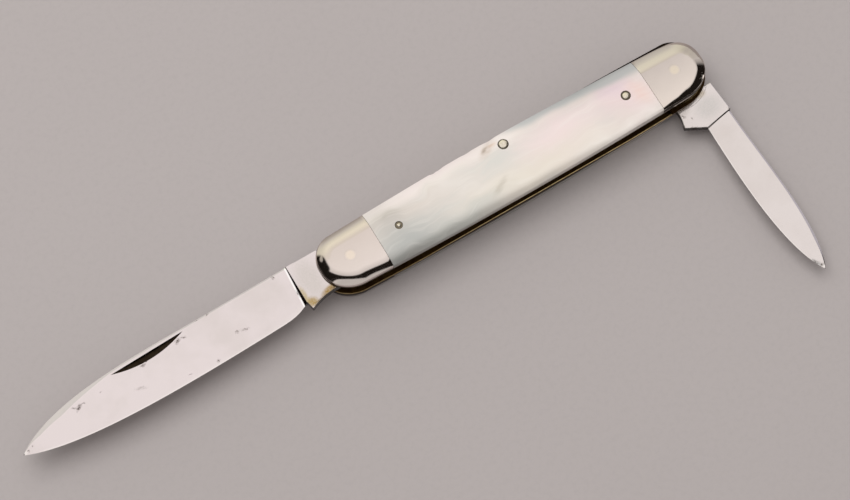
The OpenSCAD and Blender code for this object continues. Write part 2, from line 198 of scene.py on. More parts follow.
class Nodes:
    """A node tree, and what the finishes draw into it."""

    # The setting of each kind of node that follows the colon of its name
    modes: dict[str, str] = {
        "Math": "operation",
        "VectorMath": "operation",
        "MapRange": "interpolation_type",
        "Mapping": "vector_type",
        "Mix": "data_type",
    }

    def __init__(self, tree: bpy.types.NodeTree) -> None:
        """Start with an empty tree."""
        self.tree = tree
        tree.nodes.clear()

    def add(self, kind: str, *values: object, out: int | None = 0, **settings: object) -> object:
        """Add a node with its settings and its links.

        Args:
            kind: The node's type without its ShaderNode prefix, and after a colon its mode.
            values: For each input in turn a value, a socket to link from, or None to leave it.
            out: Number of the output to return, or None for the node itself.
            settings: Properties of the node; sockets is a dict of inputs by number or name,
                and ramp a list of places and hex colours for a colour ramp.

        Returns:
            The node's output socket, or the node.
        """
        kind, _, mode = kind.partition(":")
        node = self.tree.nodes.new("ShaderNode" + kind)
        if mode:
            settings[self.modes[kind]] = mode
        sockets = dict(enumerate(values)) | settings.pop("sockets", {})
        stops = settings.pop("ramp", ())
        for name, value in settings.items():
            setattr(node, name, value)
        for _ in stops[2:]:
            node.color_ramp.elements.new(1.0)
        for i, (place, colour) in enumerate(stops):
            stop = node.color_ramp.elements[i]
            stop.position, stop.color = place, linear(colour)
        for key, value in sockets.items():
            if isinstance(value, bpy.types.NodeSocket):
                self.tree.links.new(value, node.inputs[key])
            elif value is not None:
                node.inputs[key].default_value = linear(value) if isinstance(value, str) else value
        return node if out is None or not node.outputs else node.outputs[out]

    def stained(self, mask: object, strength: float, colour: object, stain: str) -> object:
        """Mix a stain's colour in where a mask is set.

        Args:
            mask: Socket of the mask.
            strength: Share of the stain where the mask is 1.
            colour: Socket or hex value of the colour beneath.
            stain: Hex value of the stain.

        Returns:
            Socket of the mixed colour.
        """
        factor = self.add("Math:MULTIPLY", mask, strength)
        return self.add("Mix:RGBA", sockets={0: factor, 6: colour, 7: stain}, out=2)

    def patch(self, place: object, where: Sequence[float], soft: float) -> object:
        """Mask of one soft oval patch, seen through the piece's thickness.

        Args:
            place: Socket of the place in millimetres.
            where: X, Y, half length, half width and turn in degrees.
            soft: Share of the patch over which it fades, up to 1.

        Returns:
            Socket that is 1 in the middle of the patch and 0 outside.
        """
        x, y, long, wide, turn = where
        flat = self.add("VectorMath:MULTIPLY", place, (1, 1, 0))
        turned = (0, 0, math.radians(turn))
        local = self.add("Mapping:TEXTURE", flat, (x, y, 0), turned, (long, wide, 1))
        far = self.add("VectorMath:LENGTH", local, out=1)
        return self.add("MapRange:SMOOTHSTEP", far, 1 - soft, 1.0, 1.0, 0.0)


# Finishes


# Depth of the finest scratches, in metres
SCRATCH = 0.02 * MM


@dataclass(frozen=True)
class Finish:
    """A finish, drawn in millimetres of the piece's own place."""

    name: str

    def surface(self, nodes: Nodes, place: object) -> dict[str, object]:
        """Draw the finish: each finish has its own.

        Args:
            nodes: The material's node tree.
            place: Socket of the place in millimetres.

        Returns:
            What the shader's sockets get.
        """
        raise NotImplementedError

    def build(self) -> bpy.types.Material:
        """Make the material.

        Returns:
            The finished material.
        """
        material = bpy.data.materials.new(self.name)
        material.use_nodes = True
        nodes = Nodes(material.node_tree)
        place = nodes.add("VectorMath:MULTIPLY", nodes.add("TexCoord", out=3), (1 / MM,) * 3)
        shader = nodes.add("BsdfPrincipled", sockets=self.surface(nodes, place))
        nodes.add("OutputMaterial", shader)
        return material


@dataclass(frozen=True)
class BladeSteel(Finish):
    """Carbon steel, glazed to a mirror and worn.

    It is even and bright, with a faint grey bloom, dull chamfers, brown rust pits and old
    stains on the tang. A painted highlight lies along the edge and before the plunge, and
    painted shade darkens the plunge and the tang's underside.
    """

    end: End
    # Strength of the painted highlight along the whetted edge
    edge_glint: float
    # Degrees that the blade stands short of open
    fold: float = 0.0
    # Strength of the painted highlight, a bright line before the plunge, and how far it lies from
    # the pivot
    plunge_glint: float = 0.0
    plunge_at: float = 11.68
    tone: str = "#dad0d0"
    bloom: str = "#c9c0bc"
    rust: str = "#3c2c20"
    rubbed: str = "#77716d"
    chamfer: str = "#aba6b4"
    # Colour of the painted highlight along the edge
    edge_glint_tone: str = "#f1ece8"
    # Colours of the painted shade in the plunge's wall and on the tang's underside
    plunge_shade: str = "#453d37"
    underside_shade: str = "#221d19"
    roughness: float = 0.13
    # Strength and oval of each rust mark
    marks: tuple = ()
    # Colour, strength and oval of each wide stain
    stains: tuple = ()
    # Radii about the pivot of the grey rings that the liners have rubbed
    rings: tuple = ()

    def surface(self, nodes: Nodes, place: object) -> dict[str, object]:
        """Draw the steel, its places measured from the blade's pivot along the blade.

        Args:
            nodes: The material's node tree.
            place: Socket of the place in millimetres.

        Returns:
            What the shader's sockets get.
        """
        add, stained = nodes.add, nodes.stained
        angle = math.radians(self.fold)
        sine, cosine, flip = math.sin(angle), math.cos(angle), self.end.value
        pivot = (-PLAN.pivot_x * cosine, -PLAN.pivot_x * sine, 0)
        place = add("Mapping:POINT", place, pivot, (0, 0, angle), (flip, 1, 1))
        # The glazing wheel's lines run across the blade, 0.05 mm apart, drawn 0.3 mm apart
        lines = add("VectorMath:MULTIPLY", place, (3.2, 0.25, 1))
        grain = add("TexNoise", lines, None, 1.0, 3.0, 0.6)
        cloud = add("TexNoise", place, None, 0.12, 4.0, 0.55)
        tone = add("MapRange", cloud, 0.42, 0.75, 0.0, 0.55)
        colour = add("Mix:RGBA", sockets={0: tone, 6: self.tone, 7: self.bloom}, out=2)
        rough = add("MapRange", grain, 0.3, 0.8, self.roughness * 0.8, self.roughness * 1.35)
        # Rust and stains are broken up by pits 0.25 mm wide
        fine = add("TexNoise", place, None, 4.0, 3.0, 0.6)
        eaten = add("MapRange", fine, 0.36, 0.6, 0.2, 1.0)
        thin = add("MapRange", fine, 0.36, 0.6, 0.6, 1.0)
        for stain, strength, oval in self.stains:
            mask = add("Math:MULTIPLY", nodes.patch(place, oval, 0.8), thin)
            colour = stained(mask, strength, colour, stain)
        around = add("VectorMath:MULTIPLY", place, (1, 1, 0))
        around = add("VectorMath:LENGTH", around, out=1)
        for radius in self.rings:
            off = add("Math:ABSOLUTE", add("Math:SUBTRACT", around, radius))
            ring = add("Math:MULTIPLY", add("MapRange", off, 0.05, 0.16, 1.0, 0.0), eaten)
            colour = stained(ring, 0.6, colour, self.rubbed)
        # The chamfer along the back is dull, and a painted highlight runs along the whetted edge
        normal = add("TexCoord", out=1)
        back = add("VectorMath:DOT_PRODUCT", normal, (sine, cosine, 0), out=1)
        colour = stained(add("MapRange", back, 0.12, 0.2), 0.55, colour, self.chamfer)
        edge_glint = add("MapRange", back, -0.12, -0.18)
        edge_glint = add("Math:MULTIPLY", edge_glint, add("MapRange", back, -0.6, -0.5))
        colour = stained(edge_glint, self.edge_glint, colour, self.edge_glint_tone)
        # Painted shade darkens the plunge's wall and the tang's underside, and a painted highlight
        # is a bright line before the plunge
        point = add("VectorMath:DOT_PRODUCT", normal, (flip * cosine, -sine, 0), out=1)
        root = add("MapRange", add("SeparateXYZ", place), 14, 13)
        plunge = add("Math:MULTIPLY", add("MapRange", point, 0.2, 0.45), root)
        # The painted highlight: a white line just before the plunge
        plunge_glint_mask = add("VectorMath:DOT_PRODUCT", place, (1, 0.054, 0), out=1)
        plunge_glint_mask = add("Math:ABSOLUTE", add("Math:SUBTRACT", plunge_glint_mask, self.plunge_at))
        plunge_glint_mask = add("MapRange", plunge_glint_mask, 0.08, 0.2, 1.0, 0.0)
        colour = stained(plunge_glint_mask, self.plunge_glint, colour, "#ffffff")
        colour = stained(plunge, 0.8, colour, self.plunge_shade)
        underside_shade_mask = add("Math:MULTIPLY", add("MapRange", back, -0.3, -0.5), root)
        colour = stained(underside_shade_mask, 0.9, colour, self.underside_shade)
        # The rust marks are ovals bent by up to half a millimetre
        warp = add("TexNoise", place, None, 2.6, 3.0, 0.6, out=1)
        warp = add("VectorMath:SUBTRACT", warp, (0.5, 0.5, 0.5))
        bent = add("VectorMath:MULTIPLY_ADD", warp, (1.0, 1.0, 0), place)
        for strength, oval in self.marks:
            mask = add("Math:MULTIPLY", nodes.patch(bent, oval, 0.9), eaten)
            colour = stained(mask, strength, colour, self.rust)
            rough = add("Math:MULTIPLY_ADD", mask, 0.4, rough)
        bump = add("Bump", 0.02, SCRATCH, sockets={"Height": grain})
        return {"Base Color": colour, "Metallic": 1.0, "Roughness": rough, "Normal": bump}


@dataclass(frozen=True)
class PlainMetal(Finish):
    """Dark steel with a cloudy tarnish and fine scratches: the springs and the nail nicks."""

    tone: str
    tarnish: str
    roughness: float
    # Share of the tarnish, and the size of its clouds in millimetres
    cover: float
    cloud_mm: float
    scratch_mm: float = 0.3

    def surface(self, nodes: Nodes, place: object) -> dict[str, object]:
        """Draw the tarnished metal.

        Args:
            nodes: The material's node tree.
            place: Socket of the place in millimetres.

        Returns:
            What the shader's sockets get.
        """
        add = nodes.add
        cloud = add("TexNoise", place, None, 1 / self.cloud_mm, 4.0, 0.6)
        mask = add("MapRange", cloud, 0.4, 0.7, 0.0, self.cover)
        colour = add("Mix:RGBA", sockets={0: mask, 6: self.tone, 7: self.tarnish}, out=2)
        grain = add("TexNoise", place, None, 1 / self.scratch_mm, 2.0, 0.5)
        rough = add("MapRange", grain, 0.3, 0.7, self.roughness * 0.8, self.roughness * 1.3)
        bump = add("Bump", 0.03, SCRATCH, sockets={"Height": grain})
        return {"Base Color": colour, "Metallic": 1.0, "Roughness": rough, "Normal": bump}


@dataclass(frozen=True)
class BolsterNickel(Finish):
    """Nickel silver polished to a soft mirror.

    Painted shade leaves it paler by the belly than on the spine's side and darkens it down
    its walls, with the peened pin's disc a little creamier than the bolster.
    """

    tone: str
    # Painted shade on the spine's side of the flat face
    spine_side_shade: str
    disc: str = "#ddd0ba"
    # Colour of the painted shade on the walls
    wall_shade: str = "#2b221a"
    roughness: float = 0.09
    # Radius of the peened pin's disc in millimetres, and the share of it that fades
    disc_r: float = 0.86
    disc_soft: float = 0.35
    # How much of that painted shade stays on the spine's rounding
    edge_dull: float = 1.0
    # Height over the knife's middle plane up to which the walls are painted dark as painted shade
    wall_shade_to: float = 2.55
    # Further rise of that painted shade along the belly, near the joint and at the end
    climb: Flat = (0.0, 0.0)

    def surface(self, nodes: Nodes, place: object) -> dict[str, object]:
        """Draw the polished nickel silver.

        Args:
            nodes: The material's node tree.
            place: Socket of the place in millimetres.

        Returns:
            What the shader's sockets get.
        """
        add, stained = nodes.add, nodes.stained
        x, y, z = add("SeparateXYZ", place, out=None).outputs
        cloud = add("TexNoise", place, None, 0.3, 3.0, 0.5)
        # The spine's side of the face is painted darker as painted shade, its border broken by a
        # cloud
        spine_side_shade = add("MapRange", add("Math:MULTIPLY_ADD", cloud, 2.5, y), -3.0, 3.9)
        spine_side_shade = add("Math:MULTIPLY", spine_side_shade, add("MapRange", y, 2.7, 4.0, 1.0, self.edge_dull))
        colour = add("Mix:RGBA", sockets={0: spine_side_shade, 6: self.tone, 7: self.spine_side_shade}, out=2)
        flat = add("VectorMath:MULTIPLY", place, (1, 1, 0))
        discs = []
        for end in End:
            off = add("VectorMath:DISTANCE", flat, (end.value * PLAN.pivot_x, 0, 0), out=1)
            low, high = (self.disc_r * (1 + side * self.disc_soft) for side in (-1, 1))
            discs.append(add("MapRange:SMOOTHSTEP", off, low, high, 1.0, 0.0))
        colour = stained(add("Math:MAXIMUM", *discs), 0.6, colour, self.disc)
        # Painted shade darkens the walls beside the liners, on the far side lower by the belly
        height = add("Math:SUBTRACT", z, PLAN.thickness / 2)
        far = add("MapRange", y, -1.0, 1.0, -0.78, -1.0)
        height = add("Math:MAXIMUM", height, add("Math:MULTIPLY", height, far))
        # It climbs the wall along the belly at the pen's end, and is left off the foot of the wall
        # where it climbs highest
        climb = add("MapRange", x, 34.0, 38.0, *self.climb)
        climb = add("Math:MULTIPLY", climb, add("MapRange", y, -0.5, -2.5))
        climb = add("Math:ADD", climb, self.wall_shade_to)
        low = add("MapRange", add("Math:SUBTRACT", height, climb), 0.15, 0.0)
        wiped = add("MapRange", height, 2.6, 2.75, 1.0, 0.0)
        wiped = add("Math:MULTIPLY", wiped, add("MapRange", climb, 3.0, 3.2))
        wiped = add("Math:MULTIPLY", wiped, add("MapRange", x, 38.0, 35.5))
        low = add("Math:SUBTRACT", low, wiped, use_clamp=True)
        colour = stained(low, 0.93, colour, self.wall_shade)
        grain = add("TexNoise", place, None, 3.0, 2.0, 0.5)
        rough = add("MapRange", grain, 0.3, 0.7, self.roughness * 0.8, self.roughness * 1.3)
        rough = add("Math:MULTIPLY_ADD", low, 0.4, rough)
        bump = add("Bump", 0.03, SCRATCH, sockets={"Height": grain})
        return {"Base Color": colour, "Metallic": 1.0, "Roughness": rough, "Normal": bump}


@dataclass(frozen=True)
class LinerBrass(Finish):
    """Sheet brass, yellow on the edges that fingers rub, with its faces painted dark brown as old
    oil and painted shade.
    """

    edge: str = "#f4d9a0"
    edge_worn: str = "#6e5024"
    # The edge dulls towards the main blade's end, between two places along the handle
    edge_dull: str = "#5c4526"
    dull_run: Flat = (-2, -26)
    # Dark brown of the faces, partly old oil and partly painted shade of the wells between the
    # layers
    face: str = "#33210f"
    face_cloud: str = "#5f4722"
    rubbed: str = "#a08a64"
    # Where the rim's oval starts along the handle, and its half length and half height
    rim_x: float = 34.9
    rim_size: Flat = (6.6, 5.6)
    roughness: float = 0.34

    def surface(self, nodes: Nodes, place: object) -> dict[str, object]:
        """Draw the rubbed and oiled brass.

        Args:
            nodes: The material's node tree.
            place: Socket of the place in millimetres.

        Returns:
            What the shader's sockets get.
        """
        add, stained = nodes.add, nodes.stained
        x, y, _ = add("SeparateXYZ", place, out=None).outputs
        upright = add("SeparateXYZ", add("TexCoord", out=1), out=2)
        inside = add("MapRange", add("Math:ABSOLUTE", upright), 0.93, 0.985)
        cloud = add("TexNoise", place, None, 0.9, 4.0, 0.6)
        worn = add("MapRange", cloud, 0.45, 0.75, 0.0, 0.7)
        edge = add("Mix:RGBA", sockets={0: worn, 6: self.edge, 7: self.edge_worn}, out=2)
        edge = stained(add("MapRange", x, *self.dull_run), 0.72, edge, self.edge_dull)
        # The faces are rubbed to a dull tan in patches along the rim that shows
        reach = add("Math:MAXIMUM", add("Math:SUBTRACT", x, self.rim_x), 0)
        long, high = self.rim_size
        reach = add("VectorMath:MULTIPLY", add("CombineXYZ", reach, y), (1 / long, 1 / high, 0))
        rim = add("Math:MULTIPLY_ADD", cloud, 0.12, add("VectorMath:LENGTH", reach, out=1))
        band = add("MapRange", rim, 0.93, 0.96)
        band = add("Math:MULTIPLY", band, add("MapRange", rim, 1.05, 1.02))
        band = add("Math:MULTIPLY", band, add("MapRange", x, 33.5, 36.5))
        face = stained(add("MapRange", cloud, 0.4, 0.7), 0.5, self.face, self.face_cloud)
        face = stained(band, 0.9, face, self.rubbed)
        colour = add("Mix:RGBA", sockets={0: inside, 6: edge, 7: face}, out=2)
        rough = add("MapRange", inside, 0.0, 1.0, self.roughness, 0.6)
        return {"Base Color": colour, "Metallic": 1.0, "Roughness": rough}


@dataclass(frozen=True)
class PinMetal(Finish):
    """Nickel silver wire peened into a low dome, bright on top with dirt round the rim."""

    tone: str = "#ddd4c5"
    worn: str = "#a0937d"
    dirt: str = "#5c5245"
    # Heights over which the dirt gives way to bright metal, in millimetres
    dirty_to: Flat = (8.75, 8.82)

    def surface(self, nodes: Nodes, place: object) -> dict[str, object]:
        """Draw the domed pin.

        Args:
            nodes: The material's node tree.
            place: Socket of the place in millimetres.

        Returns:
            What the shader's sockets get.
        """
        add, stained = nodes.add, nodes.stained
        height = add("SeparateXYZ", place, out=2)
        grain = add("TexNoise", place, None, 2.5, 3.0, 0.6)
        ragged = add("Math:MULTIPLY_ADD", grain, 0.06, height)
        dirt = add("MapRange:SMOOTHSTEP", ragged, *self.dirty_to, 1.0, 0.0)
        worn = add("MapRange", grain, 0.45, 0.75, 0.0, 0.5)
        colour = add("Mix:RGBA", sockets={0: worn, 6: self.tone, 7: self.worn}, out=2)
        colour = stained(dirt, 0.92, colour, self.dirt)
        rough = add("MapRange", dirt, 0.0, 1.0, 0.2, 0.6)
        bump = add("Bump", 0.1, SCRATCH, sockets={"Height": grain})
        return {"Base Color": colour, "Metallic": 1.0, "Roughness": rough, "Normal": bump}


@dataclass(frozen=True)
class MotherOfPearl(Finish):
    """Polished nacre: a deep soft white with a glass-like skin.

    Slow clouds of pink, cream and green-grey drift through it, with a few growth flaws.
    """

    # Colour, strength and oval of each cloud, laid on in turn
    clouds: tuple
    # Colour, strength and oval of each growth flaw
    flaws: tuple = ()
    white: str = "#e4dcd3"
    hollow: str = "#dcd9d1"
    crest: str = "#eee7df"
    streaks: str = "#f6f1e9"
    # Grey painted on the spine's side as a painted reflection
    spine_reflection: str = "#b3b8b8"
    dirt: str = "#2b1d0e"
    # Heights between which the colour darkens towards the liner, partly old dirt and partly
    # painted shade; only the far scale reaches them
    dirt_and_shade_z: Flat = (20.0, 21.0)
    # Square root of the sides' bow for each millimetre along the handle
    bow_rate: float = 0.0222
    # Tones that the roundings multiply in, from the flat outwards on the spine's side
    spine_shade: tuple = ((0.0, "#ffffff"), (0.4, "#ededed"), (0.75, "#e6e6e6"), (1.0, "#d2d2d2"))
    # And from the edge inwards on the belly's side
    belly_shade: tuple = (
        (0.0, "#b4b4b4"),
        (0.2, "#d3d3d3"),
        (0.44, "#f4f4f4"),
        (0.6, "#ffffff"),
        (1.0, "#ffffff"),
    )

    def surface(self, nodes: Nodes, place: object) -> dict[str, object]:
        """Draw the nacre.

        Args:
            nodes: The material's node tree.
            place: Socket of the place in millimetres.

        Returns:
            What the shader's sockets get.
        """
        add, stained = nodes.add, nodes.stained
        x, y, z = add("SeparateXYZ", place, out=None).outputs
        # The nacre's layers drift over 5 to 10 mm, and everything is drawn through that drift
        drift = add("TexNoise", place, None, 0.16, 1.5, 0.5, out=1)
        drift = add("VectorMath:SUBTRACT", drift, (0.5, 0.5, 0.5))
        bent = add("VectorMath:MULTIPLY_ADD", drift, (7, 5, 0), place)
        layers = add("Mapping", bent, None, (0, 0, -0.7), (0.09, 0.3, 0.2))
        cloud = add("TexNoise", layers, None, 1.0, 2.5, 0.5)
        tones = ((0.34, self.hollow), (0.5, self.white), (0.66, self.crest))
        colour = add("ValToRGB", cloud, ramp=tones)
        for tone, strength, oval in self.clouds:
            colour = stained(nodes.patch(bent, oval, 1.0), strength, colour, tone)
        # Soft diagonal streaks where the layers come up to the surface, 0.6 mm apart
        streak = add("Mapping", bent, None, (0, 0, -0.9), (0.1, 1.6, 1))
        streak = add("TexNoise", streak, None, 1.0, 2.0, 0.6)
        streak = add("MapRange", streak, 0.52, 0.7, 0.0, 1.0)
        colour = stained(streak, 0.16, colour, self.streaks)
        # The rounding on the spine's side is painted grey towards the pen blade's end, as a
        # painted reflection
        bow = add("Math:MULTIPLY", x, self.bow_rate)
        spine = add("Math:ADD", y, add("Math:MULTIPLY", bow, bow))
        wave = add("Math:SUBTRACT", add("SeparateXYZ", bent, out=1), y)
        spine = add("Math:MULTIPLY_ADD", wave, 0.35, spine)
        spine = add("Math:ADD", spine, add("MapRange", x, -2.0, 30.0, 0.0, 2.0))
        reflection_mask = add("MapRange:SMOOTHSTEP", spine, 4.9, 6.6)
        reflection_mask = add("Math:MULTIPLY", reflection_mask, add("MapRange:SMOOTHSTEP", x, -1.0, 6.0))
        colour = stained(reflection_mask, 0.75, colour, self.spine_reflection)
        # The spine's rounding darkens by the pen blade's end, the belly's by the main blade's
        shade = add("ValToRGB", add("MapRange", y, 2.0, 6.0), ramp=self.spine_shade)
        end = add("MapRange", x, 2.0, 18.0)
        shade = add("Mix:RGBA", sockets={0: end, 6: "#ffffff", 7: shade}, out=2)
        colour = add("VectorMath:MULTIPLY", colour, shade)
        slant = add("Math:MULTIPLY_ADD", x, 0.055, y)
        slant = add("Math:MULTIPLY_ADD", wave, 0.25, slant)
        shade = add("ValToRGB", add("MapRange", slant, -7.5, -3.3), ramp=self.belly_shade)
        colour = add("VectorMath:MULTIPLY", colour, shade)
        # The flaws are broken up by fine diagonal lines
        lines = add("Mapping", place, None, (0, 0, -0.7), (0.5, 1.6, 1))
        lines = add("TexNoise", lines, None, 1.0, 3.0, 0.6)
        lines = add("MapRange", lines, 0.35, 0.6, 0.45, 1.0)
        for tone, strength, oval in self.flaws:
            flaw = add("Math:MULTIPLY", nodes.patch(place, oval, 1.0), lines)
            colour = stained(flaw, strength, colour, tone)
        # Towards the liner the colour darkens, partly old dirt and partly painted shade
        dirt = add("MapRange:SMOOTHSTEP", z, *self.dirt_and_shade_z)
        colour = stained(dirt, 0.93, colour, self.dirt)
        skin = {"IOR": 1.6, "Coat Weight": 0.6, "Coat Roughness": 0.06}
        return {"Base Color": colour, "Roughness": 0.3} | skin


@dataclass(frozen=True)
class TablePaper(Finish):
    """Matt paper, pale and a little warm, with a faint mottle and a fine tooth."""

    name: str = "matt_table_paper"
    tone: str = "#b8b0ae"
    mottled: str = "#bab2b0"
    pores: str = "#8f8a88"

    def surface(self, nodes: Nodes, place: object) -> dict[str, object]:
        """Draw the paper.

        Args:
            nodes: The material's node tree.
            place: Socket of the place in millimetres.

        Returns:
            What the shader's sockets get.
        """
        add = nodes.add
        mottle = add("TexNoise", place, None, 0.01, 2.0, 0.5)
        colour = add("ValToRGB", mottle, ramp=((0.3, self.tone), (0.7, self.mottled)))
        tooth = add("MapRange", add("TexNoise", place, None, 0.9, 3.0, 0.7), 0.45, 0.8)
        colour = nodes.stained(tooth, 0.12, colour, self.pores)
        return {"Base Color": colour, "Roughness": 0.85}


# Mesh tools


def deselect() -> None:
    """Leave edit mode and select nothing."""
    if bpy.context.mode != "OBJECT":
        bpy.ops.object.mode_set(mode="OBJECT")
    bpy.ops.object.select_all(action="DESELECT")


def pick(piece: bpy.types.Object) -> None:
    """Make a piece the only selected and active one.

    Args:
        piece: The piece.
    """
    deselect()
    piece.select_set(True)
    bpy.context.view_layer.objects.active = piece


def face_outwards(piece: bpy.types.Object) -> None:
    """Turn every face of a closed piece outwards.

    Args:
        piece: The piece.
    """
    pick(piece)
    bpy.ops.object.mode_set(mode="EDIT")
    bpy.ops.mesh.select_all(action="SELECT")
    bpy.ops.mesh.normals_make_consistent(inside=False)
    bpy.ops.object.mode_set(mode="OBJECT")


def loft(name: str, rings: Sequence[Sequence[Point]]) -> bpy.types.Object:
    """Extrude a filled ring through a row of rings, closed at both ends.

    Args:
        name: Name of the piece.
        rings: Rings of points in millimetres, each with as many points as the next.

    Returns:
        The closed piece, in millimetres.
    """
    deselect()
    bpy.ops.mesh.primitive_circle_add(vertices=len(rings[0]), radius=1, fill_type="NGON")
    piece = bpy.context.object
    piece.name = piece.data.name = name
    points = piece.data.vertices
    spoke = {(round(v.co.x, 4), round(v.co.y, 4)): i for i, v in enumerate(points)}
    bpy.ops.object.mode_set(mode="EDIT")
    bpy.ops.mesh.select_all(action="SELECT")
    for _ in rings[1:]:
        bpy.ops.mesh.extrude_region_move(TRANSFORM_OT_translate={"value": (0, 0, 1)})
    bpy.ops.object.mode_set(mode="OBJECT")
    for v in piece.data.vertices:
        v.co = rings[round(v.co.z)][spoke[(round(v.co.x, 4), round(v.co.y, 4))]]
    face_outwards(piece)
    return piece


def extruded(name: str, outline: Sequence[Flat], low: float, high: float) -> bpy.types.Object:
    """Extrude a flat outline upright between two heights.

    Args:
        name: Name of the piece.
        outline: The outline's points in millimetres.
        low: Height of its foot.
        high: Height of its top.

    Returns:
        The closed piece, in millimetres.
    """
    return loft(name, [[(x, y, z) for x, y in outline] for z in (low, high)])


def combine(piece: bpy.types.Object, tool: bpy.types.Object, work: Work) -> None:
    """Cut a tool out of a piece, or join it on, and throw the tool away.

    Args:
        piece: The piece that is kept.
        tool: The solid that cuts or joins.
        work: Which of the two it does.
    """
    pick(piece)
    step = piece.modifiers.new("combine", "BOOLEAN")
    step.object, step.operation = tool, work.value
    step.solver, step.material_mode = "EXACT", "TRANSFER"
    bpy.ops.object.modifier_apply(modifier=step.name)
    bpy.data.objects.remove(tool)


def bore(
    piece: bpy.types.Object, x: float, y: float, r: float, low: float = -1, high: float = 10
) -> None:
    """Drill a round hole between two heights, or right through."""
    combine(piece, loft("drill", [circle(x, y, r, z, 64) for z in (low, high)]), Work.CUT)


def bevel_edges(
    piece: bpy.types.Object,
    chosen: Callable[[Vector, Vector], bool],
    offset: float,
    segments: int = 2,
) -> None:
    """Bevel the edges of a piece that a test picks by the places of their ends.

    Args:
        piece: The piece, in millimetres.
        chosen: Test of an edge's two ends.
        offset: Width of the bevel in millimetres.
        segments: Steps in the bevel.
    """
    pick(piece)
    bpy.ops.object.mode_set(mode="EDIT")
    bpy.ops.mesh.select_mode(type="EDGE")
    bpy.ops.mesh.select_all(action="DESELECT")
    bpy.ops.object.mode_set(mode="OBJECT")
    points = piece.data.vertices
    for edge in piece.data.edges:
        a, b = (points[i].co for i in edge.vertices)
        edge.select = chosen(a, b)
    bpy.ops.object.mode_set(mode="EDIT")
    bpy.ops.mesh.bevel(offset=offset, segments=segments, affect="EDGES", clamp_overlap=True)
    bpy.ops.mesh.select_mode(type="VERT")
    bpy.ops.object.mode_set(mode="OBJECT")


def level_edge(a: Vector, b: Vector) -> bool:
    """Whether an edge lies level, as a plate's rims do."""
    return abs(a.z - b.z) < 1e-5


def finish_piece(
    piece: bpy.types.Object,
    body: Body,
    slot: Slot,
    material: bpy.types.Material,
    nodes: Sequence[str],
    smooth: float = 30,
) -> None:
    """Shade a piece, turn it to metres, dress it and set it on its body.

    Args:
        piece: The piece, in millimetres.
        body: The body it rides on.
        slot: The record's material slot; it is not used.
        material: The finish for the faces that have none.
        nodes: The CAD nodes that it stands for.
        smooth: Steepest angle between faces that still shades as a curve, in degrees.
    """
    pick(piece)
    bpy.ops.object.shade_smooth_by_angle(angle=math.radians(smooth))
    piece.scale = (MM, MM, MM)
    bpy.ops.object.transform_apply(location=True, rotation=True, scale=True)
    if not piece.data.materials:
        piece.data.materials.append(material)
    elif piece.data.materials[0] is None:
        piece.data.materials[0] = material
    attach(piece, body.value)
    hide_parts(*nodes)
    log.info("%s: %d faces", piece.name, len(piece.data.polygons))


def bezier(a: Flat, b: Flat, c: Flat, d: Flat, steps: int) -> np.ndarray:
    """Points along a cubic curve.

    Args:
        a: First end.
        b: First handle.
        c: Second handle.
        d: Second end.
        steps: Steps along the curve.

    Returns:
        An array of steps + 1 points.
    """
    t = np.linspace(0, 1, steps + 1)[:, None]
    s = 1 - t
    a, b, c, d = map(np.array, (a, b, c, d))
    return s**3 * a + 3 * s * s * t * b + 3 * s * t * t * c + t**3 * d


def eased(where: float, stations: Sequence[tuple]) -> np.ndarray:
    """Blend smoothly between the values of the two stations round a place.

    Args:
        where: The place.
        stations: Rows of a place and its values, in rising order.

    Returns:
        The values at the place.
    """
    for low, high in zip(stations, stations[1:]):
        if where <= high[0]:
            t = max(0.0, (where - low[0]) / (high[0] - low[0]))
            t = t * t * (3 - 2 * t)
            return np.array(low[1:]) * (1 - t) + np.array(high[1:]) * t
    return np.array(stations[-1][1:], float)


def circle(x: float, y: float, r: float, z: float, count: int = 48) -> list[Point]:
    """Ring of points about an upright axis."""
    turn = [2 * math.pi * i / count for i in range(count)]
    return [(x + r * math.cos(a), y + r * math.sin(a), z) for a in turn]


# The handle


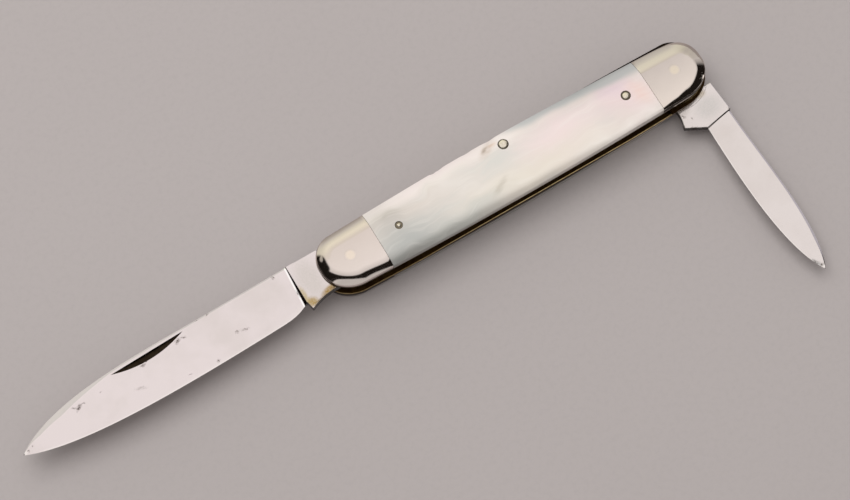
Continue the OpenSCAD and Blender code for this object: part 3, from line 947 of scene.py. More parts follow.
@dataclass
class Cover:
    """A bolster or a scale: a slab rounded over at its outer edge."""

    face: Face
    name: str
    outline: list
    # Rows of a place along the outline, the rounding's reach inwards, its tilt at the wall in
    # degrees, and how quickly it tilts: below 1 the rounding starts with a crisper edge
    rounding: tuple
    joint_bevel: float = 0.1
    # Chips and worn places of the spine's edge: place, half width and depth
    chips: tuple = ()
    # Share of the rounding and drop of each ring of the worn corner above the wall
    corner: tuple = ((1, 0.3), (0.99, 0.14), (0.97, 0.04), (0.945, 0.0))
    # Places across the handle between which that corner's drop grows, and its factors there
    corner_run: tuple = ((-1, 3), (1, 1.6))
    # Rings of the rounding, the share that they start from, and how they crowd inwards
    steps: int = 16
    start: float = 0.92
    crowding: float = 1.7
    # A flat rim of this share of the rounding keeps its shading off the face
    rim: float = 0.03
    # A point this near to a joint lies on it
    on_joint: float = 0.065

    def ring(self, share: float, drop: float = 0.0) -> list[Point]:
        """Outline stepped inwards to a share of the rounding.

        Args:
            share: 1 at the wall and 0 where the flat face starts.
            drop: Further step down in millimetres.

        Returns:
            The ring's points.
        """
        pts = np.array(self.outline)
        along = np.concatenate([[0], np.cumsum(np.linalg.norm(np.diff(pts, axis=0), axis=1))])
        along /= along[-1]
        run = np.gradient(pts, axis=0)
        run /= np.linalg.norm(run, axis=1)[:, None]
        # The rounding's depth is its slope, summed from the flat face outwards
        s = np.linspace(0, max(share, 0), 24)
        points = []
        for (x, y), (dx, dy), where in zip(pts, run, along):
            reach, tilt, power = eased(where, self.rounding)
            # At a joint the edge only steps straight in from the spine or the belly
            nx, ny = (0.0, -math.copysign(1, y)) if self.at_joint(x) else (dy, -dx)
            slope = np.tan(math.radians(tilt) * s**power)
            depth = reach * float(np.sum((slope[1:] + slope[:-1]) / 2) * (s[1] - s[0]))
            lost = sum(d * math.exp(-(((x - at) / w) ** 2)) for at, w, d in self.chips if y > 0)
            inward = reach * (1 - share) + lost * max(share, 0) ** 3
            worn = drop * float(np.interp(y, *self.corner_run))
            points.append((x + nx * inward, y + ny * inward, PLAN.thickness - depth - worn))
        return points

    def at_joint(self, x: float) -> bool:
        """Whether a place lies on a joint between a scale and a bolster."""
        return abs(abs(x) - PLAN.joint_x) < self.on_joint

    def build(self) -> bpy.types.Object:
        """Loft the slab up from its liner and over its rounding.

        Returns:
            The blank cover, in millimetres.
        """
        rings = [[(x, y, PLAN.front_z) for x, y, _ in self.ring(1)]]
        rings += [self.ring(share, drop) for share, drop in self.corner]
        shares = self.start * np.linspace(1, 0, self.steps) ** self.crowding
        rings += [self.ring(share) for share in [*shares, -self.rim]]
        outer = PLAN.thickness
        if self.face is Face.BACK:
            rings = [[(x, y, PLAN.thickness - z) for x, y, z in ring] for ring in rings]
            outer = 0.0
        piece = loft(self.name, rings)

        def joint_rim(a: Vector, b: Vector) -> bool:
            """Whether an edge borders the joint's wall on the outside of the handle.

            Args:
                a: The edge's one end.
                b: Its other end.

            Returns:
                True if it does.
            """
            if not (self.at_joint(a.x) and self.at_joint(b.x)) or a.x * b.x < 0:
                return False
            return a.y * b.y > 0 or (abs(a.z - outer) < 1e-4 and abs(b.z - outer) < 1e-4)

        bevel_edges(piece, joint_rim, self.joint_bevel)
        return piece


@dataclass
class Handle:
    """The covers, pins, liners and springs."""

    # The rounding along a bolster's outline, from the spine's joint round to the belly's joint
    pen_rounding: tuple = (
        (0.0, 3.5, 35, 0.5),
        (0.24, 3.4, 36, 0.5),
        (0.42, 2.9, 40, 0.45),
        (0.52, 2.2, 41, 0.4),
        (0.64, 1.8, 34, 0.3),
        (0.8, 1.35, 30, 0.25),
        (0.9, 0.8, 30, 0.25),
        (1.0, 0.5, 30, 0.25),
    )
    main_rounding: tuple = (
        (0.0, 3.3, 36, 0.8),
        (0.24, 3.2, 37, 0.8),
        (0.42, 3.1, 46, 0.9),
        (0.52, 3.1, 50, 1.0),
        (0.66, 3.3, 50, 1.0),
        (0.82, 3.2, 40, 0.95),
        (1.0, 3.0, 36, 1.0),
    )
    # And along the near scale's outline, from the spine's main end round to the belly's
    scale_rounding: tuple = (
        (0.0, 3.3, 36, 0.8),
        (0.22, 2.9, 36, 0.9),
        (0.4, 3.4, 35, 0.6),
        (0.456, 3.5, 35, 0.5),
        (0.544, 0.5, 30, 0.25),
        (0.58, 0.8, 30, 0.8),
        (0.75, 1.9, 46, 1.1),
        (0.9, 2.7, 44, 1.0),
        (1.0, 3.0, 36, 1.0),
    )
    # The far side's covers are rounded over evenly
    back_rounding: tuple = ((0.0, 2.0, 40, 0.8), (1.0, 2.0, 40, 0.8))
    # Chips in the near scale's spine edge, and wear there on the near pen bolster
    chips: tuple = ((-14.1, 0.5, 0.2), (-12.9, 0.9, 0.16), (-6.8, 0.9, 0.1), (-1.9, 1.1, 0.16))
    corner_wear: tuple = ((38.0, 2.6, 0.16),)
    # How far a scale stops short of its joints, the points along its spine and its joints' bevel
    scale_gap: float = 0.06
    scale_points: int = 181
    scale_bevel: float = 0.04
    # Gaps round the heads of the near scale pins, and round the spring pin in the near scale
    near_gaps: Flat = (0.07, 0.05)
    # How far the far liner falls short of the belly's bow, and half the length that does
    liner_short: Flat = (0.28, 24.0)
    # Rounding of the liners' and the springs' rims, and wear of the pins' lower edges
    liner_edge: float = 0.16
    spring_edge: float = 0.04
    pin_edge: float = 0.03
    # Heights of a spring's seat under the blade, of that seat when lifted, and of its boss
    seat_y: float = 3.75
    lifted_y: float = 4.4
    boss_y: float = 2.49
    # Half lengths of the boss at its foot and with its shoulders
    boss_run: Flat = (2.4, 5.4)
    # How far the nose reaches past the pivot, and the radius of the foot round the other one
    nose: float = 4.35
    foot: float = 2.4
    # Length from the spring pin over which the lifted working half comes to stand proud
    proud_run: float = 20

    def bolster(self, face: Face, end: End, material: bpy.types.Material) -> None:
        """Make a bolster, bored for its pivot pin.

        Args:
            face: The side of the handle.
            end: The end of the handle.
            material: Its finish.
        """
        node = f"{face.value}_{end.name.lower()}_bolster"
        outline = [(x * end.value, y) for x, y in PLAN.end_outline()]
        near = self.pen_rounding if end is End.PEN else self.main_rounding
        rounding = near if face is Face.FRONT else self.back_rounding
        if end is End.MAIN:
            outline.reverse()
            rounding = tuple((1 - where, *rest) for where, *rest in reversed(rounding))
        worn = self.corner_wear if face is Face.FRONT and end is End.PEN else ()
        piece = Cover(face, f"{node}_dressed", outline, rounding, chips=worn).build()
        bore(piece, end.value * PLAN.pivot_x, 0, PLAN.pivot_d / 2 + PLAN.flush_gap)
        finish_piece(piece, Body.HANDLE, Slot.NICKEL_SILVER, material, [node])

    def scale(self, face: Face, material: bpy.types.Material) -> None:
        """Make a scale, drilled and sunk for its pins.

        Args:
            face: The side of the handle.
            material: Its finish.
        """
        front = face is Face.FRONT
        node = f"{face.value}_scale"
        end = PLAN.joint_x - self.scale_gap
        xs = np.linspace(-end, end, self.scale_points)
        outline = [(x, PLAN.bowed(PLAN.spine_rise, x)) for x in xs]
        # The belly's side has no chips, so it needs a third of the points
        outline += [(x, -PLAN.bowed(PLAN.belly_drop, x)) for x in xs[::-3]]
        rounding = self.scale_rounding if front else self.back_rounding
        chips = self.chips if front else ()
        piece = Cover(face, f"{node}_dressed", outline, rounding, self.scale_bevel, chips).build()
        # The heads' sinks, from inside the scale to beyond its face
        low, high = (PLAN.thickness - PLAN.head_depth, 10) if front else (-1, PLAN.head_depth)
        sink, gap = self.near_gaps if front else (PLAN.pin_gap, PLAN.pin_gap)
        bore(piece, 0, PLAN.spring_pin_y, PLAN.spring_pin_d / 2 + gap)
        for side, head in HEAD_R.items():
            x = side.value * PLAN.scale_pin_x
            bore(piece, x, PLAN.scale_pin_y, PLAN.scale_pin_d / 2 + PLAN.pin_gap)
            bore(piece, x, PLAN.scale_pin_y, head + sink, low, high)
        finish_piece(piece, Body.HANDLE, Slot.PEARL, material, [node])

    def pin(
        self, node: str, x: float, y: float, profile: tuple, material: bpy.types.Material
    ) -> None:
        """Loft a pin through the circles of its profile.

        Args:
            node: The CAD node that it stands for.
            x: Its place along the handle.
            y: Its place across the handle.
            profile: Radius and height of each circle, from the bottom up.
            material: Its finish.
        """
        piece = loft(f"{node}_dressed", [circle(x, y, r, z) for r, z in profile])
        finish_piece(piece, Body.HANDLE, Slot.PIN_NICKEL, material, [node])

    def dome(self, r: float, flange: float, sunk: float, power: float) -> tuple:
        """Circles of a domed head.

        Args:
            r: Radius of the head.
            flange: Radius where the dome starts.
            sunk: How far the head's rim lies below the scale's face.
            power: How square the dome is: 2 is a round one.

        Returns:
            Radius and height of each circle, from the rim to the top.
        """
        low, step = PLAN.thickness - sunk, 0.03
        rim = ((r, low), (r - 0.02, low + 0.02), (flange + 0.02, low + step))
        rise = PLAN.head_rise + sunk - step
        shares = (1.0, 0.98, 0.94, 0.87, 0.77, 0.63, 0.46, 0.27, 0.05)
        return rim + tuple((flange * s, low + step + rise * (1 - s**power)) for s in shares)

    def pins(
        self,
        nickel: bpy.types.Material,
        pale: bpy.types.Material,
        flush: dict[End, bpy.types.Material],
    ) -> None:
        """Make the pivot, spring and scale pins.

        Args:
            nickel: Finish of the raised pins.
            pale: Finish of the scale pin by the main blade, whose rim is cleaner.
            flush: Finish of each end's bolster, which its pivot pin is ground flush with.
        """
        t, edge = PLAN.thickness, self.pin_edge
        for end in End:
            r, x = PLAN.pivot_d / 2, end.value * PLAN.pivot_x
            ground = ((r, t - 0.002), (0.98 * r, t), (0.5 * r, t), (0.05, t))
            profile = ((r - edge, 0), (r, edge), *ground)
            self.pin(f"{end.name.lower()}_pivot_pin", x, 0, profile, flush[end])
        r = PLAN.spring_pin_d / 2
        dome = self.dome(r, flange=0.84, sunk=0.1, power=5)
        profile = ((r - edge, 0), (r, edge), *dome)
        self.pin("spring_pin", 0, PLAN.spring_pin_y, profile, nickel)
        shank, seat = PLAN.scale_pin_d / 2, PLAN.head_depth - PLAN.pin_gap
        for end, r in HEAD_R.items():
            # The smaller dome by the main blade stands in a wider and cleaner flange
            flange, finish = (0.62 * r, pale) if end is End.MAIN else (0.76 * r, nickel)
            x, name = end.value * PLAN.scale_pin_x, f"scale_pin_{end.name.lower()}"
            stem = ((shank, PLAN.main_layer[1]), (shank, t - seat), (r, t - seat))
            front = stem + self.dome(r, flange, sunk=0.11, power=2.4)
            self.pin(f"front_{name}", x, PLAN.scale_pin_y, front, finish)
            back = ((r - edge, 0), (r, edge), (r, seat), (shank, seat), (shank, PLAN.pen_layer[0]))
            self.pin(f"back_{name}", x, PLAN.scale_pin_y, back, nickel)

    def plate(self, node: str, outline: list[Flat], layer: Flat, edge: float) -> bpy.types.Object:
        """Extrude a plate of the stack, round its rims and drill it for the spring's pin.

        Args:
            node: The CAD node that it stands for.
            outline: Its outline.
            layer: Heights of its two faces.
            edge: Width of the rounding along its rims.

        Returns:
            The plate, in millimetres.
        """
        piece = extruded(f"{node}_dressed", outline, *layer)
        bevel_edges(piece, level_edge, edge, 3)
        bore(piece, 0, PLAN.spring_pin_y, PLAN.spring_pin_d / 2 + PLAN.pin_gap)
        return piece

    def liners(self, brass: dict[Face, bpy.types.Material]) -> None:
        """Make the two outer liners, drilled for every pin that goes through them.

        Args:
            brass: Finish of each face's liner.
        """
        half = PLAN.end_outline()
        middle = np.linspace(PLAN.joint_x, -PLAN.joint_x, 27)[1:-1]
        spine = [(-x, PLAN.bowed(PLAN.spine_rise, x)) for x in middle]
        depth, reach = self.liner_short
        for face, low in ((Face.FRONT, PLAN.main_layer[1]), (Face.BACK, PLAN.back_liner_z)):
            short = depth if face is Face.BACK else 0.0
            belly = [
                (x, short * max(0, 1 - (x / reach) ** 2) - PLAN.bowed(PLAN.belly_drop, x))
                for x in middle
            ]
            outline = half + belly + [(-x, y) for x, y in reversed(half)] + spine
            layer = (low, low + PLAN.liner_t)
            piece = self.plate(f"{face.value}_liner", outline, layer, self.liner_edge)
            for end in End:
                bore(piece, end.value * PLAN.pivot_x, 0, PLAN.pivot_d / 2 + PLAN.pivot_gap)
                x, r = end.value * PLAN.scale_pin_x, PLAN.scale_pin_d / 2
                bore(piece, x, PLAN.scale_pin_y, r + PLAN.pin_gap)
            finish_piece(piece, Body.HANDLE, Slot.BRASS, brass[face], [f"{face.value}_liner"])

    def spring_outline(self, kick: Flat, proud: float, lift: float) -> list[Flat]:
        """Outline of a back spring, its working end at +X and its foot at the other pivot.

        Args:
            kick: Where along the handle, and how high, the blade's kick rests on it.
            proud: How far the working half stands out of the spine.
            lift: Turn of the working half about the spring pin, in radians.

        Returns:
            The points in order.
        """
        pivot, foot, nose = PLAN.pivot_x, self.foot, PLAN.pivot_x + self.nose
        top = [(x, y) for x, y in PLAN.end_outline() if y > 0]
        nose_y = float(np.interp(nose, *zip(*top)))
        along = np.linspace(0, PLAN.joint_x - 0.5, 24)
        spine = [(x, PLAN.bowed(PLAN.spine_rise, x)) for x in along]
        back = [*spine, *((x, y) for x, y in top if x < nose - 0.1), (nose, nose_y)]
        back = [(x, y + proud * min(1, x / self.proud_run)) for x, y in back]
        boss, shoulder = self.boss_run
        seat = [(nose, self.seat_y), (pivot - 2, self.seat_y), kick]
        work = [*back, *seat, (shoulder, kick[1]), (boss, self.boss_y), (0, self.boss_y)]
        sine, cosine, c = math.sin(lift), math.cos(lift), PLAN.spring_pin_y
        work = [(x * cosine - (y - c) * sine, c + x * sine + (y - c) * cosine) for x, y in work]
        rest = [(-boss, self.boss_y), (-shoulder, kick[1]), (-PLAN.joint_x + 1, kick[1])]
        rest += [(-pivot + foot, -foot / 2), (-pivot + foot / 2, -foot)]
        # The foot's rear follows the handle's end as high as the spine's joint
        end = [(-x, y) for x, y in reversed(PLAN.end_outline()) if y > -foot + 0.1]
        return work + rest + end + [(-x, y) for x, y in reversed(spine[1:])]

    def springs(self, steel: bpy.types.Material) -> None:
        """Make the two back springs.

        Args:
            steel: Their finish.
        """
        lift = math.asin((self.lifted_y - self.seat_y) / PLAN.pivot_x)
        # The main spring lies at rest, and the half-open pen blade holds its own lifted. Each
        # row: layer, where the kick rests, how proud the working half stands, and its turn
        for end, layer, kick, proud, turn in (
            (End.MAIN, PLAN.main_layer, (PLAN.pivot_x - 12.7, 3.75), 0.0, 0.0),
            (End.PEN, PLAN.pen_layer, (PLAN.pivot_x - 10.5, 3.15), 0.58, lift),
        ):
            node = f"{end.name.lower()}_spring"
            outline = [(end.value * x, y) for x, y in self.spring_outline(kick, proud, turn)]
            piece = self.plate(node, outline, layer, self.spring_edge)
            bore(piece, -end.value * PLAN.pivot_x, 0, PLAN.pivot_d / 2 + PLAN.pivot_gap)
            finish_piece(piece, Body.HANDLE, Slot.SPRING_STEEL, steel, [node])

    def dress_centre(self, brass: bpy.types.Material) -> None:
        """Give the centre liner, whose CAD shape is right, its finish.

        Args:
            brass: The finish.
        """
        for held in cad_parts["centre_liner"].material_slots:
            held.material = brass
        log.info("centre_liner: dressed")


# The blades


@dataclass(frozen=True)
class Nick:
    """A nail nick: a leaning groove, one wall of it straight and one curved."""

    # Its middle's distance from the pivot, its straight wall's height and the face's height
    x: float
    y: float
    z: float
    length: float
    # Turn in the blade's plane, in degrees, and whether it is on the front face
    turn: float
    front: bool
    width: float = 1.5
    depth: float = 0.4
    # How far the cutter reaches past the groove
    spare: float = 1.5

    def tool(self, material: bpy.types.Material) -> bpy.types.Object:
        """Make the leaning disc that cuts the nick.

        Args:
            material: Finish of the cut faces.

        Returns:
            The cutter, in millimetres.
        """
        lean = math.atan(self.depth / self.width)
        deep = self.depth / math.cos(lean)
        r = self.length**2 / (8 * deep) + deep / 2
        spread = math.asin((self.length / 2 + self.spare) / r)
        arc = [(r * math.sin(a), -r * math.cos(a)) for a in np.linspace(-spread, spread, 41)]
        top = -r * math.cos(spread) + 2
        tool = extruded("nick", [(arc[0][0], top), *arc, (arc[-1][0], top)], 0, 3)
        up = r - deep
        place = (
            Matrix.Scale(1 if self.front else -1, 4, (0, 0, 1))
            @ Matrix.Translation((self.x, self.y, self.z))
            @ Matrix.Rotation(math.radians(self.turn), 4, "Z")
            @ Matrix.Translation((0, math.sin(lean) * up, math.cos(lean) * up))
            @ Matrix.Rotation(math.pi / 2 - lean, 4, "X")
        )
        tool.data.transform(place)
        tool.data.materials.append(material)
        face_outwards(tool)
        return tool


@dataclass
class Blade:
    """A forged blade: a tang that is a plain plate, and a body ground flat on both faces."""

    name: str
    body: Body
    # Outline curves from the tang: along the back to the point, and from the heel to the point
    back_curve: np.ndarray
    edge_curve: np.ndarray
    tang_t: float
    spine_half: float
    length: float
    # Height of the tang's back, and the places of its kick and of the notch before the edge
    back_h: float
    kick: Flat
    notch: Flat
    place: Matrix
    nick: Nick
    # Places along the blade and the widths there of the chamfer by the back, and its slope
    strip_w: tuple
    strip_slope: float = 0.28
    bevel_w: float = 0.3
    edge_half: float = 0.07
    point_half: float = 0.25
    # How softly the even thickness passes into the taper towards the point
    taper_soft: float = 0.06
    # How far the plunge's wall leans for each millimetre of its depth
    plunge_lean: float = 0.6
    tang_len: float = 11.1
    tang_bevel: float = 0.06
    # Radius of the tang's rear, and the heights of its upper and lower ends
    rear_r: float = 4.38
    rear_top: float = 3.73
    rear_low: float = 3.5
    bore_r: float = 1.18
    # Share of the length that the point takes, and how its rings crowd towards the end
    point_share: float = 0.18
    crowding: float = 1.4

    def heights(self, x: float) -> Flat:
        """The back's and the edge's heights at a distance from the pivot."""
        return tuple(float(np.interp(x, *curve.T)) for curve in (self.back_curve, self.edge_curve))

    def half_at(self, x: float) -> float:
        """Half the thickness under the spine, thinning towards the point.

        Args:
            x: Distance from the pivot.

        Returns:
            The half thickness.
        """
        far = 2 * self.spine_half + (self.point_half - 2 * self.spine_half) * x / self.length
        soft = self.taper_soft
        return -soft * math.log(math.exp(-self.spine_half / soft) + math.exp(-far / soft))

    def section(self, x: float) -> list[Point]:
        """Cross-section of the ground body: back, back's chamfer, face, edge bevel and edge.

        Args:
            x: Distance from the pivot.

        Returns:
            The ring's points, front face first.
        """
        top, low = self.heights(x)
        tall = max(top - low, 0.01)
        half = self.half_at(x)
        # Near the point everything shrinks with the height that is left
        fit = min(1.0, tall / 4)
        strip = float(np.interp(x, *self.strip_w)) * min(fit, tall / 3)
        bevel, drop = self.bevel_w * fit, self.strip_slope * strip
        edge = min(self.edge_half, half * 0.5) * max(fit, 0.3)
        half = edge + (half - edge) * min(1.0, 0.35 + 0.65 * tall / 5)
        # The back's corner is worn round, and the cutting edge is 0.03 mm thick
        worn, fall = half - drop, low + bevel - top + strip
        side = [(top, worn - 0.05), (top - 0.03 * fit, worn - 0.01), (top - strip, half)]
        side += [(top - strip + fall * s, half + (edge - half) * s) for s in (0.33, 0.66, 1.0)]
        side.append((low, 0.015))
        return [(x, y, z) for y, z in side + [(y, -z) for y, z in reversed(side)]]

    def body_rings(self) -> list[list[Point]]:
        """Rings of the body from inside the tang, over the plunge and out to the point.

        Returns:
            The rings, each with as many points as the next.
        """
        # The rings inside the tang keep just off its faces
        full = self.tang_t / 2 - 0.003
        start = self.section(self.tang_len + 0.25)
        inner = [(self.tang_len - 1.5, y, math.copysign(full, z)) for _, y, z in start]
        foot = [(self.tang_len, y, z) for _, y, z in inner]
        # The wall of the plunge leans, so it is widest at the edge, where the cut is deepest
        lean = [self.tang_len + 0.05 + self.plunge_lean * (full - abs(z)) for _, _, z in start]
        plunge = [self.section(x)[i] for i, x in enumerate(lean)]
        far = self.tang_len + 0.1 + self.plunge_lean * full + 0.2
        bend = np.linspace(far, self.length * (1 - self.point_share), 40)
        left = (1 - np.linspace(0.025, 0.997, 30)) ** self.crowding
        tip = self.length - (self.length * self.point_share) * left
        return [inner, foot, plunge] + [self.section(x) for x in [*bend, *tip]]

    def tang_outline(self) -> list[Flat]:
        """Outline of the tang, from its step by the spring's nose round to its rear.

        Returns:
            The points in order.
        """
        (x, drop), r, low = self.kick, self.rear_r, -self.rear_low
        rear = math.pi + np.array((math.asin(self.rear_low / r), -math.asin(self.rear_top / r)))
        kick = ((x - 0.25, -drop + 0.03), (x * 0.72, -drop + 1.25))
        belly = bezier(*kick, (x * 0.5, low + 0.2), (x * 0.3, low), 10)
        # The step by the spring's nose, the back, the notch, the kick, the belly and the rear
        return [
            (4.45, self.rear_top),
            (4.6, 4.3),
            (4.75, self.back_h),
            (self.tang_len, self.back_h),
            self.notch,
            (x + 0.03, -drop + 0.12),
            (x - 0.05, -drop),
            *map(tuple, belly),
            *((r * math.cos(a), r * math.sin(a)) for a in np.linspace(*rear, 24)),
        ]

    def build(self, steel: bpy.types.Material, tarnish: bpy.types.Material) -> None:
        """Loft the tang and the body, join them, bore the pivot and cut the nail nick.

        Args:
            steel: The blade's finish.
            tarnish: The finish inside the nail nick.
        """
        half = self.tang_t / 2
        piece = extruded(f"{self.name}_dressed", self.tang_outline(), -half, half)
        bevel_edges(piece, level_edge, self.tang_bevel)
        combine(piece, loft("ground", self.body_rings()), Work.JOIN)
        bore(piece, 0, 0, self.bore_r, -2, 2)
        piece.data.materials.append(steel)
        combine(piece, self.nick.tool(tarnish), Work.CUT)
        piece.data.transform(self.place)
        piece.data.update()
        face_outwards(piece)
        finish_piece(piece, self.body, Slot.BLADE_STEEL, steel, [self.name], smooth=9)


def main_blade() -> Blade:
    """Size the main blade, which lies open.

    Returns:
        The blade, ready to build.
    """
    tip = (69.5, -1.3)
    back = bezier((34.75, 4.6), (50.04, 4.55), (62.55, 4.15), tip, 60)
    edge = bezier((16.5, -4.45), (38.2, -5.3), (59.77, -5.65), tip, 60)
    heel = bezier((11.3, -3.07), (12.2, -3.5), (13.2, -4.25), edge[0], 20)
    start = [(9, 4.82), (11.1, 4.81), (14, 4.79), (20, 4.74), (28, 4.66)]
    place = (-PLAN.pivot_x, 0, sum(PLAN.main_layer) / 2)
    return Blade(
        name="main_blade",
        body=Body.MAIN_BLADE,
        back_curve=np.vstack([start, back]),
        edge_curve=np.vstack([[(9, -3.07)], heel[:-1], edge]),
        tang_t=1.84,
        spine_half=0.775,
        length=tip[0],
        back_h=4.8,
        kick=(10.7, 4.63),
        notch=(11.05, -3.07),
        place=Matrix.Translation(place) @ Matrix.Scale(-1, 4, (1, 0, 0)),
        strip_w=((0, 30, 49, 55, 60, 65, 69.5), (0.3, 0.3, 0.4, 0.9, 1.3, 0.9, 0.3)),
        nick=Nick(x=41.7, y=3.75, z=0.675, length=15.3, turn=-1.5, front=True),
    )


def pen_blade() -> Blade:
    """Size the pen blade, which stands half open.

    Returns:
        The blade, ready to build.
    """
    tip = (46.4, 1.55)
    back = bezier((11.2, 5.345), (24.13, 4.74), (39.9, 5.89), tip, 60)
    edge = bezier((12.0, -0.05), (21.8, -0.9), (38.98, -2.5), tip, 60)
    place = (PLAN.pivot_x, 0, sum(PLAN.pen_layer) / 2)
    return Blade(
        name="pen_blade",
        body=Body.PEN_BLADE,
        back_curve=np.vstack([[(9, 5.4)], back]),
        edge_curve=np.vstack([[(9, -0.1)], edge]),
        tang_t=1.44,
        spine_half=0.575,
        length=tip[0],
        back_h=5.6,
        kick=(9.5, 3.9),
        notch=(11.8, -0.1),
        place=Matrix.Translation(place) @ Matrix.Rotation(math.radians(-PEN_FOLD), 4, "Z"),
        strip_w=((0, 30, 40, 46), (0.3, 0.35, 0.5, 0.5)),
        nick=Nick(x=28.77, y=3.85, z=0.425, length=10, turn=0, front=False),
        strip_slope=0.22,
        bevel_w=0.16,
        plunge_lean=1.0,
        tang_bevel=0.13,
    )


# The studio


@dataclass
class Studio:
    """The table, the light and the camera."""

    # The camera's place in millimetres, and the ways to its right and up
    eye: Point = (-91.65, -120.53, 448.97)
    right: Point = (0.85753, -0.51445, 0.0)
    up: Point = (0.49238, 0.82074, 0.28975)
    # Its sensor in millimetres, and a lens that is 2500 pixels long in a frame of 850
    sensor: float = 36
    lens: float = 36 * 2500 / 850
    # The floor's side in metres, and its gap under the knife
    floor_size: float = 8
    floor_gap: float = 0.02 * MM
    # The bright part of the sky as polished metal mirrors it, on the unit disc seen from above
    bright_middle: Point = (0.0, 0.35, 0.0)
    bright_reach: float = 0.79
    dark: str = "#191613"
    # A pale card low on the belly's side
    card_way: Point = (-0.35, -0.94, 0.0)
    card: str = "#b7b6b4"
    # Ways to the small windows, and the radius and strength of each
    windows: tuple = (
        ((0.86, -0.375, 0.35), 0.06, 1.0),
        ((0.7, -0.54, 0.47), 0.03, 1.0),
        ((-0.718, 0.545, 0.433), 0.17, 0.7),
    )
    # A dark doorway low beyond the main blade
    doorway: Point = (-0.97, 0.45, 0.0)
    # The mirrored sky from overhead to low beyond the spine
    sky: tuple = (
        (0.3, "#e7e5e3"),
        (0.36, "#e2e0da"),
        (0.5, "#e3e1d9"),
        (0.62, "#ecebde"),
        (0.75, "#f2f2e2"),
        (0.85, "#ecedde"),
        (0.9, "#e2e2d8"),
        (0.94, "#d4d4ce"),
        (0.965, "#c4c2bb"),
        (1.0, "#a9a8a2"),
    )
    # Strength of the mirrored sky, and what a clear window adds to it
    mirror_level: float = 1.4
    spark: float = 3.0
    # Colour of the sky's own light, and its strength from the belly's side to the spine's
    sky_light: str = "#fffdfc"
    sky_level: Flat = (0.3, 0.67)
    # The panel's strength, its side and place in metres, and its lean in degrees
    lamp_level: float = 2.12
    lamp_side: float = 0.6
    lamp_place: Point = (-0.03, 0.2, 0.6)
    lamp_lean: float = -18

    def camera(self) -> None:
        """Set the camera at the photograph's viewing angle."""
        data = bpy.data.cameras.new("camera")
        data.sensor_width, data.lens = self.sensor, self.lens
        data.clip_start, data.clip_end = 0.01, 20
        camera = bpy.data.objects.new("camera", data)
        bpy.context.scene.collection.objects.link(camera)
        right, up = Vector(self.right).normalized(), Vector(self.up).normalized()
        turn = Matrix((right, up, right.cross(up))).transposed().to_4x4()
        camera.matrix_world = Matrix.Translation(Vector(self.eye) * MM) @ turn
        bpy.context.scene.camera = camera

    def floor(self) -> None:
        """Lay the pale table under the knife."""
        deselect()
        place = (0, 0, -self.floor_gap)
        bpy.ops.mesh.primitive_plane_add(size=self.floor_size, location=place)
        table = bpy.context.object
        table.name = "table_top"
        table.data.materials.append(TablePaper().build())
        table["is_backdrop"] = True

    def mirrored(self, nodes: Nodes, way: object) -> tuple[object, object]:
        """Draw the sky that only polished metal mirrors.

        It is white overhead, cream beyond the spine and dark by the belly, and it dulls
        before it goes dark.

        Args:
            nodes: The world's node tree.
            way: Socket of the way that a ray leaves.

        Returns:
            Sockets of the sky's colour and strength.
        """
        add, stained = nodes.add, nodes.stained
        fade = "MapRange:SMOOTHSTEP"
        x, y, z = add("SeparateXYZ", way, out=None).outputs
        flat = add("VectorMath:MULTIPLY", way, (1, 1, 0))
        far = add("VectorMath:DISTANCE", flat, self.bright_middle, out=1)
        dark = add(fade, far, self.bright_reach, self.bright_reach + 0.06)
        # The card stands beyond the dark, and the spine's side is lit
        card = add("VectorMath:DOT_PRODUCT", flat, self.card_way, out=1)
        dark = add("Math:MULTIPLY", dark, add(fade, card, 0.68, 0.72, 1.0, 0.0))
        lean = add("Math:MULTIPLY_ADD", x, 0.2, y)
        dark = add("Math:MULTIPLY", dark, add(fade, lean, 0.25, 0.45, 1.0, 0.0))
        # By the belly, between the knife's ends, the dark gives way to a pale band near the table
        low = add("MapRange", z, 0.26, 0.33)
        for ends in ((0.76, 0.82), (-0.3, -0.45)):
            low = add("Math:MAXIMUM", low, add("MapRange", x, *ends))
        dark = add("Math:MULTIPLY", dark, low)
        door = add("VectorMath:DISTANCE", flat, self.doorway, out=1)
        dark = add("Math:MAXIMUM", dark, add(fade, door, 0.34, 0.48, 1.0, 0.0))
        # Small windows mirror as sparks in the bolsters' dark ends
        level = self.mirror_level
        for place, radius, strength in self.windows:
            near = add("VectorMath:DISTANCE", way, place, out=1)
            pane = add("MapRange", near, radius * 0.6, radius, strength, 0.0)
            dark = add("Math:SUBTRACT", dark, pane, use_clamp=True)
            if strength == 1:
                level = add("Math:MULTIPLY_ADD", pane, self.spark, level)
        sky = add("ValToRGB", y, ramp=self.sky)
        sky = stained(add("MapRange", far, 0.42, self.bright_reach), 0.26, sky, "#000000")
        sky = stained(add("MapRange", y, -0.45, -0.62), 1.0, sky, self.card)
        return add("Mix:RGBA", sockets={0: dark, 6: sky, 7: self.dark}, out=2), level

